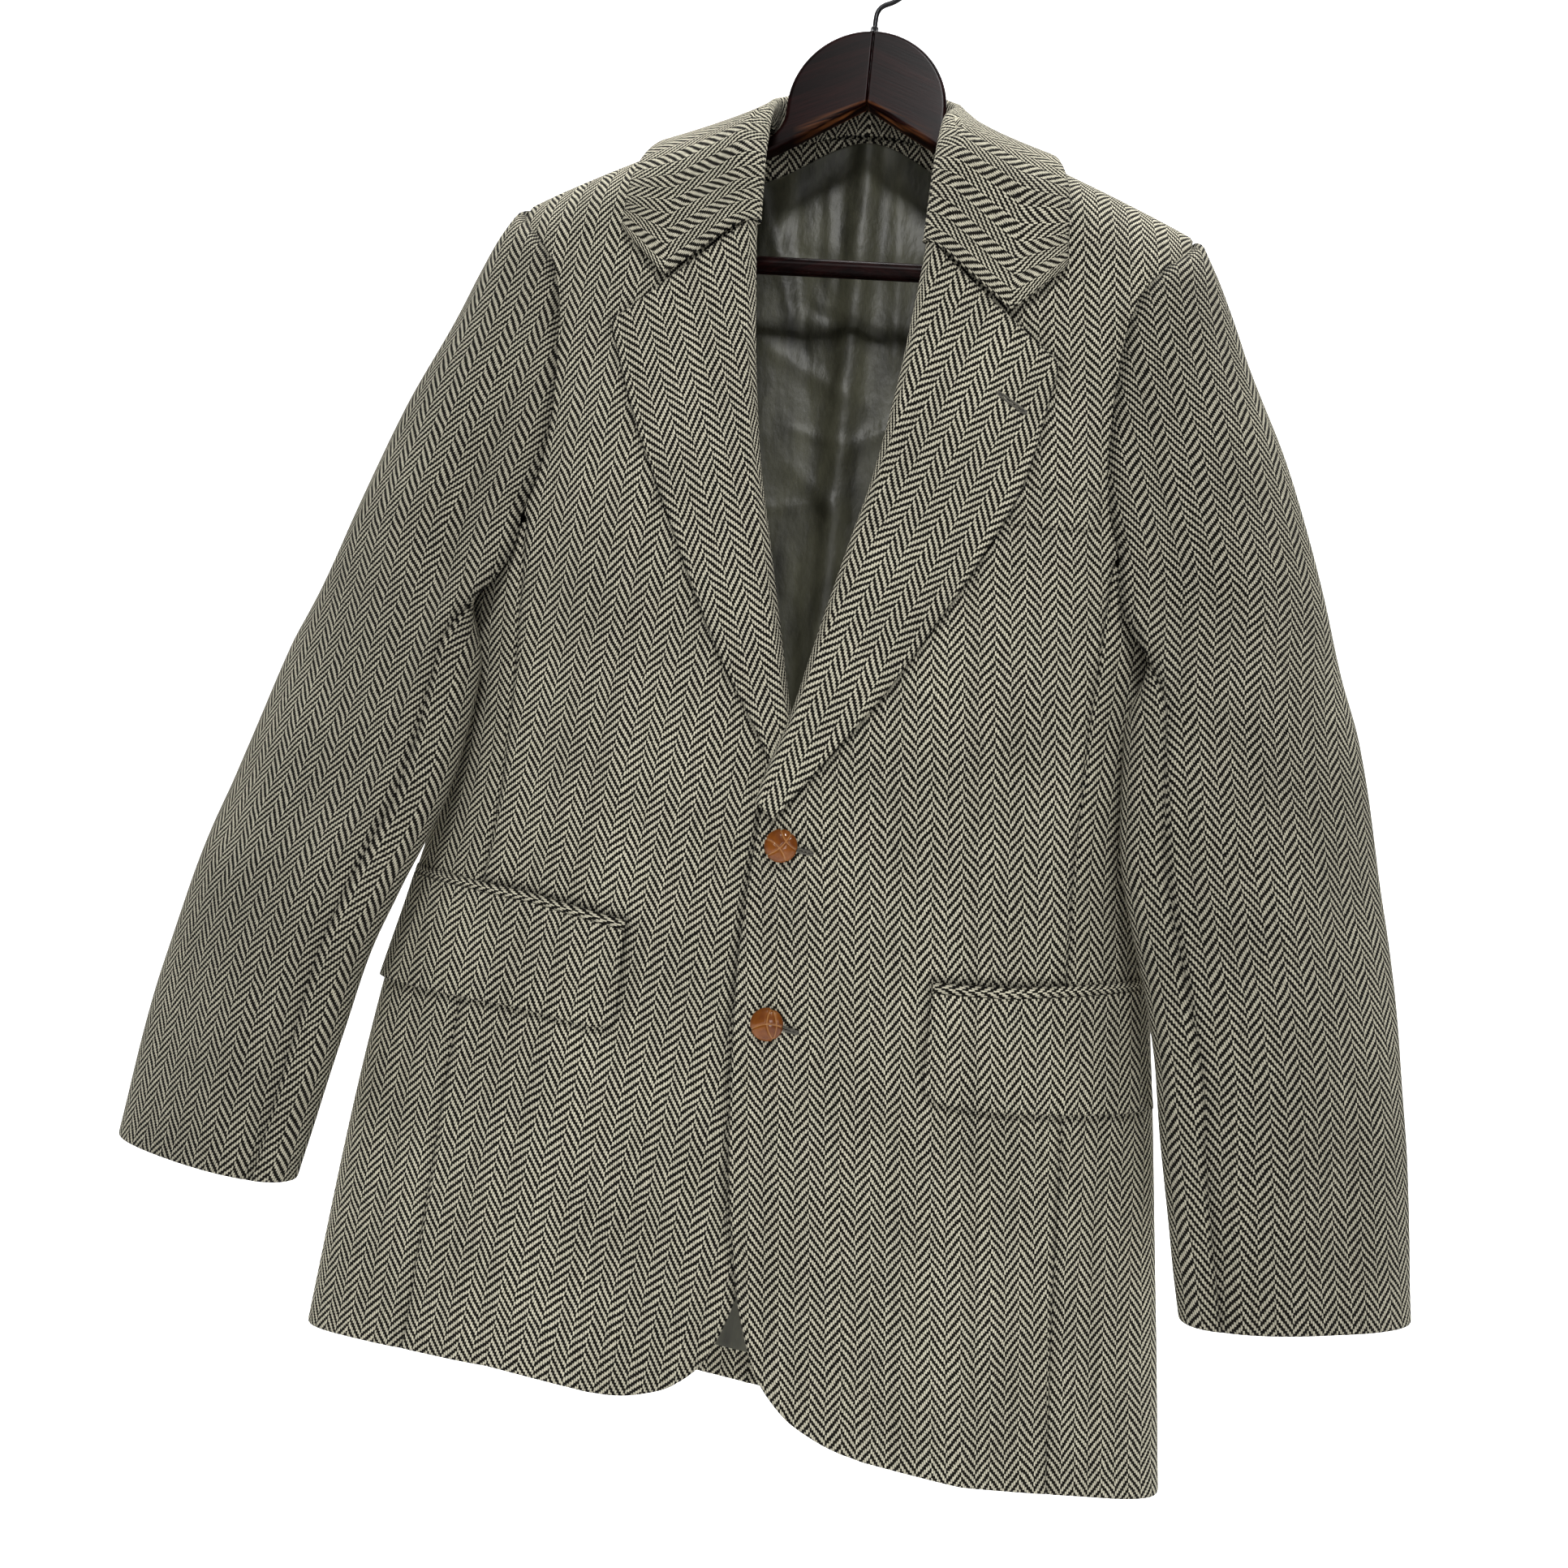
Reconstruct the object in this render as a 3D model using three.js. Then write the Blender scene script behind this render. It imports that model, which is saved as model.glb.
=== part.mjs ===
// Tweed hacking jacket hanging on a wooden trouser hanger.
// Millimetres, +Z up, the front faces -Y, the wearer's left is towards +X.
// The origin is the inside of the hook's top, where a rail carries the whole weight.
// Heights in the tables are measured from the top of the hanger's arch, so they are negative.
import * as THREE from "three";

// ---- driving sizes ----
const CLOTH = 2.2; // tweed with its canvas and lining
const ROLLED = 2.4; // lapel and collar
const SEAM = 0.3; // gap left between sewn pieces
const ROLL_GAP = 0.7; // gap between a front's edge and the cloth that rolls over it
const SQUARENESS = 2.6; // exponent of the flattened tube that the body hangs in
const HEM_FRONT = -850;
const HEM_BACK = -858;
const FAN = -200; // above this height the rows start to lean towards the shoulder seam
const NECK_SIDE = 62; // half the width of the neck at the shoulder seam
const NECK_SIDE_HEIGHT = -66;
const NECK_BACK_HEIGHT = -48;
const NECK_RISE = 44; // the shoulder line is carried up this far over the neck
const SHOULDER_SLOPE = 0.4;
const SHOULDER_ROUND = 55; // drop over which the shoulder rounds into the front and back
const UNDERARM = -338;
const UNDERARM_DIP = 14;
const CUFF_OUTER = -739;
const CUFF_INNER = -745;
const LAP = CLOTH + 0.5; // a sleeve's edge lies this far over the armhole
const UPPER_LAP = 2 * CLOTH + 1.6; // under the arm the upper sleeve also passes over the under sleeve
const UNDER_LAP = 1;
const HUNG_GAP = 4; // a hanging sleeve keeps this far from the side body
const LAPEL_EDGE_RISE = ROLLED + 1.9; // the lapel's free edge stands just off the chest
const OVERLAP_RISE = CLOTH + 0.6; // the buttoned front lies over the other one
const LAPEL_BREAK_RISE = 4.6; // and over the end of the other lapel
const BUTTON_RADIUS = 9.5;
const BUTTON_HEIGHT = 5.2;
const HOOK_RADIUS = 22;
const HOOK_SHANK = 19;
const WIRE_RADIUS = 1.6;
const HANGER_TOP = -(HOOK_SHANK + 2 * HOOK_RADIUS - WIRE_RADIUS);
const HANGER_THICK = 12;

// ---- finishes ----
function finish(color, roughness, metalness = 0) {
  return new THREE.MeshStandardMaterial({ color, roughness, metalness });
}
const TWEED = finish(0x7a766b, 0.95);
const TWEED_SHADE = finish(0x6b675d, 0.95);
const SATIN = finish(0x4b4839, 0.45);
const LEATHER = finish(0x8a4a1c, 0.35);
const MAHOGANY = finish(0x24100e, 0.4);
const BLACK_STEEL = finish(0x17171a, 0.35, 0.8);

// ---- small tools ----
const mix = (a, b, t) => a + (b - a) * t;
const clamp = (t) => Math.min(1, Math.max(0, t));
const ease = (t) => clamp(t) ** 2 * (3 - 2 * clamp(t));
const steps = (count) => Array.from({ length: count + 1 }, (_, i) => i / count);

// A table is a list of rows with named columns, in rising order of the first one.
function table(names, rows) {
  const keys = names.split(" ");
  return rows.map((row) => Object.fromEntries(keys.map((key, i) => [key, row[i]])));
}

// Reads a column at a value of the first column, along a smooth curve that never overshoots the rows.
function read(rows, key, at) {
  const by = Object.keys(rows[0])[0];
  const last = rows.length - 1;
  if (at <= rows[0][by]) return rows[0][key];
  if (at >= rows[last][by]) return rows[last][key];
  const i = rows.findIndex((row, k) => k < last && at < rows[k + 1][by]);
  const slope = (k) => (rows[k + 1][key] - rows[k][key]) / (rows[k + 1][by] - rows[k][by]);
  const bend = (k) => {
    if (k === 0 || k === last) return slope(Math.min(k, last - 1));
    const [a, b] = [slope(k - 1), slope(k)];
    return a * b <= 0 ? 0 : (2 * a * b) / (a + b);
  };
  const span = rows[i + 1][by] - rows[i][by];
  const t = (at - rows[i][by]) / span;
  const ends = rows[i][key] * (1 + 2 * t) * (1 - t) ** 2 + rows[i + 1][key] * t * t * (3 - 2 * t);
  return ends + span * (bend(i) * t * (1 - t) ** 2 - bend(i + 1) * t * t * (1 - t));
}

// ---- the body's form: a flattened tube, wider and deeper at the chest and hem than at the waist ----
const BODY = table("height halfWidth front back", [
  [-870, 264, 54, 44],
  [-740, 251, 58, 46],
  [-640, 239, 63, 46],
  [-580, 230, 67, 43],
  [-480, 217, 71, 40],
  [-340, 226, 73, 48],
  [-200, 222, 69, 48],
  [-20, 222, 66, 46],
]);

// Front edge, roll line and neck (inner), side-body seam and armhole (outer), from the hem up.
const FRONT = table("height inner outer", [
  [-850, 82, 192],
  [-848, 66, 192],
  [-844, 52, 191],
  [-834, 32, 190],
  [-814, 14, 189],
  [-767, -2, 186],
  [-682, -14, 182],
  [-591, -18, 175],
  [-496, -12, 170],
  [-440, 4, 170],
  [-385, 17, 172],
  [UNDERARM, 28, 174],
  [-305, 36, 167],
  [-270, 42, 163.5],
  [-225, 48, 165],
  [-205, 50, 167],
  [-180, 52.5, 173.5],
  [-160, 54, 186],
  [-141, 55, 201],
  [-124, 56, 207.5],
  [-95, 58.5, 207.5],
  [-66, 62, 207.5],
]);
const BACK = table("height outer", [
  [-858, 196],
  [-640, 178],
  [-480, 160],
  [UNDERARM, 178],
  [-270, 171],
  [-225, 172],
  [-180, 179],
  [-160, 189],
  [-141, 202],
  [-124, 207.5],
]);

// Height of the shoulder line; over the neck it is carried up as a dome, which only shapes the collar's seat.
function shoulderLine(x) {
  const reach = Math.abs(x);
  if (reach >= NECK_SIDE) return NECK_SIDE_HEIGHT - SHOULDER_SLOPE * (reach - NECK_SIDE);
  return NECK_SIDE_HEIGHT + NECK_RISE * (1 - (reach / NECK_SIDE) ** 2);
}

function flatness(x, height) {
  const share = Math.min(1, Math.abs(x) / read(BODY, "halfWidth", height));
  return (1 - share ** SQUARENESS) ** (1 / SQUARENESS);
}

// A point of the body's outside. turn is the angle over the shoulder in degrees: 0 on the shoulder line,
// negative on the front, positive on the back, and past 90 each unit is one millimetre further down.
function yoke(x, turn) {
  const side = Math.sign(turn) || 1;
  const angle = THREE.MathUtils.degToRad(Math.min(90, Math.abs(turn)));
  const drop = SHOULDER_ROUND * (1 - Math.cos(angle)) + Math.max(0, Math.abs(turn) - 90);
  const z = shoulderLine(x) - drop;
  const depth = read(BODY, side < 0 ? "front" : "back", z) * flatness(x, z) * Math.sin(angle);
  return new THREE.Vector3(x, side * depth, z);
}

// The turn that brings a point on the front or back to a height.
function turnAt(x, height) {
  const drop = shoulderLine(x) - height;
  if (drop >= SHOULDER_ROUND) return 90 + drop - SHOULDER_ROUND;
  return THREE.MathUtils.radToDeg(Math.acos(clamp(1 - Math.max(0, drop) / SHOULDER_ROUND)));
}
const onFront = (x, height) => yoke(x, -turnAt(x, height));
const onBack = (x, height) => yoke(x, turnAt(x, height));

// A point around the body: angle 0 is the centre front, 90 the side, 180 the centre back.
function around(angle, height) {
  const radians = THREE.MathUtils.degToRad(angle);
  const face = Math.cos(radians) >= 0 ? -1 : 1;
  const x = read(BODY, "halfWidth", height) * Math.abs(Math.sin(radians)) ** (2 / SQUARENESS);
  const depth = read(BODY, face < 0 ? "front" : "back", height);
  return new THREE.Vector3(x, face * depth * Math.abs(Math.cos(radians)) ** (2 / SQUARENESS), height);
}
function angleAt(x, height) {
  const share = Math.min(1, x / read(BODY, "halfWidth", height));
  return THREE.MathUtils.radToDeg(Math.asin(share ** (SQUARENESS / 2)));
}

// How far the buttoned front stands out over the other one near the centre.
function overlapRise(x, height) {
  const nearCentre = 1 - ease((x - 24) / 50);
  const nearBreak = ease((height + 560) / 50) * (1 - ease((height + 415) / 75));
  return nearCentre * (OVERLAP_RISE + LAPEL_BREAK_RISE * nearBreak);
}

// The whole jacket hangs a little askew: the wearer's left front drops, the hem swings to the right side.
function hang(point, share) {
  const { x, z } = point;
  const side = Math.sign(x);
  const reach = Math.abs(x);
  const lower = 14 * ease((-350 - z) / 300) * Math.min(1, reach / 140) * share;
  const collar = 5 * ease(reach / 70) * (1 - ease((reach - 130) / 50)) * ease((-120 - z) / 45);
  const collarOnly = collar * ease((z + 420) / 150);
  const swing = 11 * ease((-300 - z) / 450) * Math.min(1, reach / 230) ** 2;
  return point.set(x - swing, point.y, z - side * (lower + collarOnly));
}

// ---- from a surface to a closed wall ----
// surface(u, v) gives the outside of the cloth; face is 1 or -1, so that the cross product points out.
const NUDGE = 1e-3;
function outwards(surface, u, v, face) {
  const along = surface(u + NUDGE, v).sub(surface(u - NUDGE, v));
  const up = surface(u, v + NUDGE).sub(surface(u, v - NUDGE));
  return along.cross(up).normalize().multiplyScalar(face);
}

function wall(surface, us, vs, thickness, face, share = 1) {
  const outer = [];
  const inner = [];
  for (const v of vs) {
    for (const u of us) {
      const point = surface(u, v);
      const normal = outwards(surface, u, v, face);
      outer.push(hang(point.clone(), share));
      inner.push(hang(point.addScaledVector(normal, -thickness), share));
    }
  }
  const [columns, count] = [us.length, outer.length];
  const faces = [];
  const quad = (a, b, c, d) => faces.push(a, b, c, a, c, d);
  for (let row = 0; row < vs.length - 1; row++) {
    for (let column = 0; column < columns - 1; column++) {
      const at = row * columns + column;
      quad(at, at + 1, at + 1 + columns, at + columns);
      quad(count + at, count + at + columns, count + at + 1 + columns, count + at + 1);
    }
  }
  const border = [];
  for (let i = 0; i < columns - 1; i++) border.push(i);
  for (let j = 0; j < vs.length - 1; j++) border.push(j * columns + columns - 1);
  for (let i = columns - 1; i > 0; i--) border.push((vs.length - 1) * columns + i);
  for (let j = vs.length - 1; j > 0; j--) border.push(j * columns);
  border.forEach((a, k) => {
    const b = border[(k + 1) % border.length];
    quad(a, count + a, count + b, b);
  });
  return solid([...outer, ...inner], faces);
}

// A closed mesh whose faces point out, whichever way its points ran.
function solid(points, faces) {
  let volume = 0;
  for (let i = 0; i < faces.length; i += 3) {
    volume += points[faces[i]].dot(points[faces[i + 1]].clone().cross(points[faces[i + 2]]));
  }
  const turned = volume < 0 ? faces.map((_, i) => faces[3 * Math.floor(i / 3) + 2 - (i % 3)]) : faces;
  const geometry = new THREE.BufferGeometry().setFromPoints(points);
  geometry.setIndex(turned);
  geometry.computeVertexNormals();
  return geometry;
}

const jacket = new THREE.Group();
jacket.position.z = HANGER_TOP;

function add(name, geometry, material) {
  const mesh = new THREE.Mesh(geometry, material);
  mesh.name = name;
  jacket.add(mesh);
  return mesh;
}

// Adds a wall on the wearer's left (+X) or right (-X) side; both are cut from the same points.
function addSide(name, side, surface, us, vs, thickness, face, material, share = 1) {
  const placed = (u, v) => {
    const point = surface(u, v);
    point.x *= side;
    return point;
  };
  const label = side > 0 ? "left" : "right";
  add(`${name}_${label}`, wall(placed, us, vs, thickness, face * side, share), material);
}
const SIDES = [1, -1];

// ---- body panels ----
// level 0 to 1 runs from the hem to the fan height, 1 to 2 on to the shoulder seam or back neck.
const FAN_SHARE = 0.35;
function panelPoint(x, level, hem, place, topTurn) {
  if (level <= 1) return place(x, mix(hem, FAN, level));
  const rise = level - 1;
  const side = place === onFront ? -1 : 1;
  if (rise < FAN_SHARE) return place(x, mix(FAN, shoulderLine(x) - SHOULDER_ROUND, rise / FAN_SHARE));
  return yoke(x, side * mix(90, topTurn(x), (rise - FAN_SHARE) / (1 - FAN_SHARE)));
}

// Finds where a row meets an edge that is given as x for each height.
function meet(edge, row) {
  let x = edge(FAN);
  for (let i = 0; i < 12; i++) x = mix(x, edge(row(x).z), 0.7);
  return x;
}
const levelOf = (height, hem) => (height - hem) / (FAN - hem);

function frontPanel(u, level, over) {
  const row = (x) => panelPoint(x, level, HEM_FRONT, onFront, () => 0.25);
  const inner = meet((z) => read(FRONT, "inner", z) + ROLL_GAP, row);
  const outer = meet((z) => read(FRONT, "outer", z) - SEAM / 2, row);
  const point = row(mix(inner, outer, u));
  if (over) point.y -= overlapRise(point.x, point.z);
  return point;
}
const SHARED_ROWS = steps(10); // rows that meet along a seam lie at the same heights
const CUTAWAY_HEIGHTS = [-848, -843, -834, -818];
const sharedHeights = (hem) => SHARED_ROWS.map((t) => mix(hem, UNDERARM, t));
const BUTTON_HEIGHTS = [-617, -516]; // rows run through the buttons' seats
const OTHER_HEIGHTS = [-465, -300, -260, FAN];
const FRONT_ROWS = [...sharedHeights(HEM_FRONT), ...CUTAWAY_HEIGHTS, ...BUTTON_HEIGHTS, ...OTHER_HEIGHTS];
const FRONT_HEIGHTS = FRONT_ROWS.sort((a, b) => a - b);
const FRONT_LEVELS = FRONT_HEIGHTS.map((z) => levelOf(z, HEM_FRONT));
const YOKE_LEVELS = [1.17, 1.35, 1.5, 1.65, 1.8, 1.92, 2];
for (const side of SIDES) {
  const cut = (u, v) => frontPanel(u, v, side > 0);
  addSide("front", side, cut, steps(8), [...FRONT_LEVELS, ...YOKE_LEVELS], CLOTH, 1, TWEED);
}

function neckline(x) {
  return NECK_BACK_HEIGHT - (NECK_BACK_HEIGHT - NECK_SIDE_HEIGHT) * (x / NECK_SIDE) ** 2.2;
}
function backTop(x) {
  return Math.abs(x) < NECK_SIDE ? Math.max(0.25, turnAt(x, neckline(Math.abs(x)))) : 0.25;
}
function backPanel(u, level) {
  const row = (x) => panelPoint(x, level, HEM_BACK, onBack, backTop);
  const outer = meet((z) => read(BACK, "outer", z) - SEAM / 2, row);
  return row(mix(SEAM / 2, outer, u));
}
const BACK_HEIGHTS = [...sharedHeights(HEM_BACK), -290, -245, FAN];
const BACK_LEVELS = [...BACK_HEIGHTS.map((z) => levelOf(z, HEM_BACK)), ...YOKE_LEVELS];
for (const side of SIDES) addSide("back", side, backPanel, steps(8), BACK_LEVELS, CLOTH, -1, TWEED);

// The side body runs under the arm from the front seam to the back seam.
const sideTop = (u) => UNDERARM - UNDERARM_DIP * Math.sin(Math.PI * clamp(u));
function sideAngles(height, gap) {
  const from = angleAt(read(FRONT, "outer", height) + gap, height);
  const to = 180 - angleAt(read(BACK, "outer", height) + gap, height);
  return [from, to];
}
function sidePanel(u, v) {
  const height = mix(mix(HEM_FRONT, HEM_BACK, u), sideTop(u), v);
  const [from, to] = sideAngles(height, SEAM / 2);
  return around(mix(from, to, u), height);
}
for (const side of SIDES) addSide("side_body", side, sidePanel, steps(7), SHARED_ROWS, CLOTH, 1, TWEED_SHADE);

// ---- sleeves: horizontal rows, each a flattened tube whose inner edge hangs forward of the body ----
const SLEEVE = table("height innerX innerY outerX outerY half", [
  [-760, 259, -73, 387, -26, 27],
  [-743, 255, -74, 385, -25, 27],
  [-652, 236, -77, 375, -21, 29],
  [-612, 229, -78, 368, -19, 30],
  [-571, 217, -78, 361, -17, 30],
  [-540, 206, -77, 355, -15, 30],
  [-500, 195, -75, 346, -12, 29],
  [-455, 190.5, -71, 335, -10, 28],
  [-400, 187, -67, 319, -8, 28],
  [UNDERARM, 171, -60, 300, -6, 32],
  [-265, 171, -60, 274, -5, 32],
  [-205, 171, -60, 246, -3, 32],
  [-183, 171, -60, 237, -2, 32],
  [-160, 171, -60, 227, -1, 32],
  [-140, 171, -60, 217.5, 0, 32],
  [-128, 171, -60, 212, 0, 32],
  [-124, 171, -60, 208.9, 0, 32],
]);
const SLEEVE_SQUARENESS = 2.3;
const FOREARM_SEAM = 0.105; // share of the ring, from the inner edge over the front wall
const HIND_SEAM = 0.7;
const SLEEVE_SETTLE = 85; // the drop over which the armhole's shape turns into the sleeve's own

// ring 0 is the inner edge, 0.25 the middle of the front wall, 0.5 the outer edge, 0.75 the back wall.
function sleeveRing(ring, height) {
  const get = (key) => read(SLEEVE, key, height);
  const inner = new THREE.Vector2(get("innerX"), get("innerY"));
  const outer = new THREE.Vector2(get("outerX"), get("outerY"));
  const centre = inner.clone().add(outer).multiplyScalar(0.5);
  const reach = outer.clone().sub(centre);
  const forward = new THREE.Vector2(reach.y, -reach.x).normalize().multiplyScalar(get("half"));
  const angle = 2 * Math.PI * ring;
  const power = (value) => Math.sign(value) * Math.abs(value) ** (2 / SLEEVE_SQUARENESS);
  const flat = centre.addScaledVector(reach, -power(Math.cos(angle)));
  flat.addScaledVector(forward, power(Math.sin(angle)));
  return new THREE.Vector3(flat.x, flat.y, height);
}

function movedOut(point, ahead, up, distance) {
  const normal = ahead.sub(point).cross(up.sub(point)).normalize();
  return point.clone().addScaledVector(normal, distance);
}
function armhole(face, height) {
  const place = face < 0 ? onFront : onBack;
  const x = read(face < 0 ? FRONT : BACK, "outer", height);
  const point = place(x, height);
  const lap = mix(UPPER_LAP, LAP, ease((height - UNDERARM) / 50));
  return movedOut(point, place(x - face * NUDGE, height), place(x, height + NUDGE), lap);
}
// Half of a cap row: from the armhole at the front (0) over the outer edge (0.5) to the back (1).
function capRow(u, height) {
  const from = armhole(u < 0.5 ? -1 : 1, Math.max(height, UNDERARM));
  const outer = sleeveRing(0.5, height);
  const angle = Math.PI * clamp(u);
  const power = (value) => Math.abs(value) ** (2 / SLEEVE_SQUARENESS);
  const x = mix(from.x, outer.x, power(Math.sin(angle)));
  const y = mix(outer.y, from.y, power(Math.cos(angle)));
  return new THREE.Vector3(x, y, height);
}
// Pushes a sleeve point out of the body's own section, so that the sleeve hangs against the side body.
function clearOfBody(point, lap) {
  const wide = read(BODY, "halfWidth", point.z) + lap;
  const deep = read(BODY, point.y < 0 ? "front" : "back", point.z) + lap;
  const norm = (Math.abs(point.x) / wide) ** SQUARENESS + (Math.abs(point.y) / deep) ** SQUARENESS;
  const push = Math.min(1, norm) ** (-1 / SQUARENESS);
  return point.set(point.x * push, point.y * push, point.z);
}
const cuffLine = (ringX) => mix(CUFF_INNER, CUFF_OUTER, clamp((ringX - 255) / 130));
const CAP_TOP = -124.6;

// level 0 to 1 runs from the cuff to the underarm, 1 to 2 on to the top of the sleeve head.
function upperSleeve(u, level) {
  const ring = mix(FOREARM_SEAM, HIND_SEAM, u);
  const bottom = cuffLine(sleeveRing(ring, CUFF_INNER).x);
  const height = level <= 1 ? mix(bottom, UNDERARM, level) : mix(UNDERARM, CAP_TOP, level - 1);
  const settled = ease((UNDERARM - height) / SLEEVE_SETTLE);
  const point = capRow(u, height).lerp(sleeveRing(ring, height), settled).setZ(height);
  return height < UNDERARM ? clearOfBody(point, mix(UPPER_LAP, HUNG_GAP, settled)) : point;
}
const TUBE_LEVELS = [...steps(7).map((t) => t * 0.8), 0.86, 0.91, 0.955, 1];
const CAP_HEIGHTS = [-300, -260, -220, -190, -165, -145, -134, -128, CAP_TOP];
const CAP_LEVELS = CAP_HEIGHTS.map((z) => 1 + (z - UNDERARM) / (CAP_TOP - UNDERARM));
for (const side of SIDES) {
  const levels = [...TUBE_LEVELS, ...CAP_LEVELS];
  addSide("upper_sleeve", side, upperSleeve, steps(11), levels, CLOTH, 1, TWEED, 0.4);
}

// The under sleeve starts on the side body's top edge and closes the tube.
const SLEEVE_SEAM = 0.0015; // shares of the ring
const UNDERARM_SEAM = 0.016; // the seam opens towards the armhole, where the upper sleeve covers it
function underarm(u) {
  const height = sideTop(u);
  const [from, to] = sideAngles(height, 4);
  const angle = mix(from, to, clamp(u));
  const point = around(angle, height);
  return movedOut(point, around(angle + NUDGE, height), around(angle, height + NUDGE), UNDER_LAP);
}
function underSleeve(u, v) {
  const middle = mix(FOREARM_SEAM, HIND_SEAM - 1, u);
  const bottom = cuffLine(sleeveRing(middle, CUFF_INNER).x);
  const top = sideTop(u);
  const height = mix(bottom, top, v);
  const settled = ease((top - height) / SLEEVE_SETTLE);
  const gap = mix(UNDERARM_SEAM, SLEEVE_SEAM, ease((top - height - 60) / 60));
  const ring = mix(FOREARM_SEAM - gap, HIND_SEAM + gap - 1, u);
  const point = underarm(u).lerp(sleeveRing(ring, height), settled).setZ(height);
  return clearOfBody(point, mix(UNDER_LAP, HUNG_GAP, ease((top - height) / 25)));
}
for (const side of SIDES) {
  addSide("under_sleeve", side, underSleeve, steps(8), TUBE_LEVELS, CLOTH, -1, TWEED_SHADE, 0.4);
}

// ---- lapels ----
// Each starts level with the inside of the front's edge, rolls over it and lies on the chest.
const LAPEL = table("down rollZ overX overZ underX underZ", [
  [0, -160, 131.5, -222, 131.5, -222],
  [0.25, -225, 118, -292, 108, -284],
  [0.5, -305, 96, -345, 83, -336],
  [0.75, -385, 54, -420, 45, -411],
  [0.88, -440, 23, -465, 15, -460],
  [1, -495, -4, -503, -2, -493],
]);
const ROLL_SHARE = 0.25; // the part of each lapel row that turns over the front's edge
const ROLL_RISE_TOP = 7;

// How far the outside of a lapel or collar leaf stands off the panel: t is 0 at the roll, 1 at the free edge.
const leafRise = (t, atRoll) => mix(LAPEL_EDGE_RISE, atRoll, (1 - clamp(t)) ** 1.6);
const rollRise = (height) => mix(LAPEL_BREAK_RISE, ROLL_RISE_TOP, ease((height + 480) / 200));

function liftedFront(x, z, rise, over) {
  const base = (a, b) => {
    const point = onFront(a, b);
    if (over) point.y -= overlapRise(a, b);
    return point;
  };
  return movedOut(base(x, z), base(x + 0.5, z), base(x, z + 0.5), rise);
}
function lapel(u, v, over) {
  const get = (key) => read(LAPEL, key, v);
  const edge = over ? [get("overX"), get("overZ")] : [get("underX"), get("underZ")];
  const roll = [read(FRONT, "inner", get("rollZ")), get("rollZ")];
  const atRoll = rollRise(roll[1]);
  if (u >= ROLL_SHARE) {
    const t = (u - ROLL_SHARE) / (1 - ROLL_SHARE);
    return liftedFront(mix(roll[0], edge[0], t), mix(roll[1], edge[1], t), leafRise(t, atRoll), over);
  }
  const angle = Math.PI * (1 - u / ROLL_SHARE);
  const radius = (atRoll + CLOTH) / 2;
  const rise = atRoll - radius + radius * Math.cos(angle);
  return liftedFront(roll[0], roll[1], rise, over).add(new THREE.Vector3(-radius * Math.sin(angle), 0, 0));
}
const LAPEL_TOP_GAP = 0.006; // share of the lapel's length left open at the gorge
const LAPEL_COLUMNS = [0, 0.06, 0.13, 0.19, 0.25, 0.37, 0.52, 0.68, 0.84, 1];
for (const side of SIDES) {
  const cut = (u, v) => lapel(u, mix(LAPEL_TOP_GAP, 1, v), side > 0);
  addSide("lapel", side, cut, LAPEL_COLUMNS, steps(12), ROLLED, -1, TWEED);
}

// ---- collar: the stand rises from the neck seam, folds over and falls as the leaf ----
// place 0 is the centre back, 3 the shoulder, 6 the gorge. The turns are angles over the shoulder.
const COLLAR = table("place neckX neckTurn foldX foldY foldZ edgeX edgeTurn outX outY outZ", [
  [0, 0, 58, 0, 35, -20, 0, 84, 0, 1, 0.3],
  [1, 28, 50.6, 29, 32, -23, 42, 60, 0.35, 0.9, 0.3],
  [2, 50, 32.5, 49, 17, -34, 82, 30, 0.8, 0.5, 0.4],
  [3, 61.5, 1, 57.5, -10, -52, 107, -2, 0.8, -0.4, 0.45],
  [4, 58.5, -65, 53.5, -49, -80, 121, -50, 0.25, -0.9, 0.35],
  [5, 55.5, -98, 51.5, -66, -116, 128, -84, 0, -1, 0.1],
  [6, 54, -137, 50, -69, -158, 130, -107.8, 0, -1, 0],
]);
const STAND_SHARE = 0.3; // the part of each collar row from the neck seam to the fold
const NOTCH = { at: 0.62, z: -196.5 }; // where the leaf's end meets the lapel
const GORGE_GAP = 2;

function hermite(from, fromWay, to, toWay, t) {
  const parts = [2 * t ** 3 - 3 * t * t + 1, t ** 3 - 2 * t * t + t, 3 * t * t - 2 * t ** 3, t ** 3 - t * t];
  const sum = new THREE.Vector3();
  [from, fromWay, to, toWay].forEach((vector, i) => sum.addScaledVector(vector, parts[i]));
  return sum;
}
const yokeOut = (x, turn, rise) => movedOut(yoke(x, turn), yoke(x + 0.5, turn), yoke(x, turn + 0.5), rise);

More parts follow.
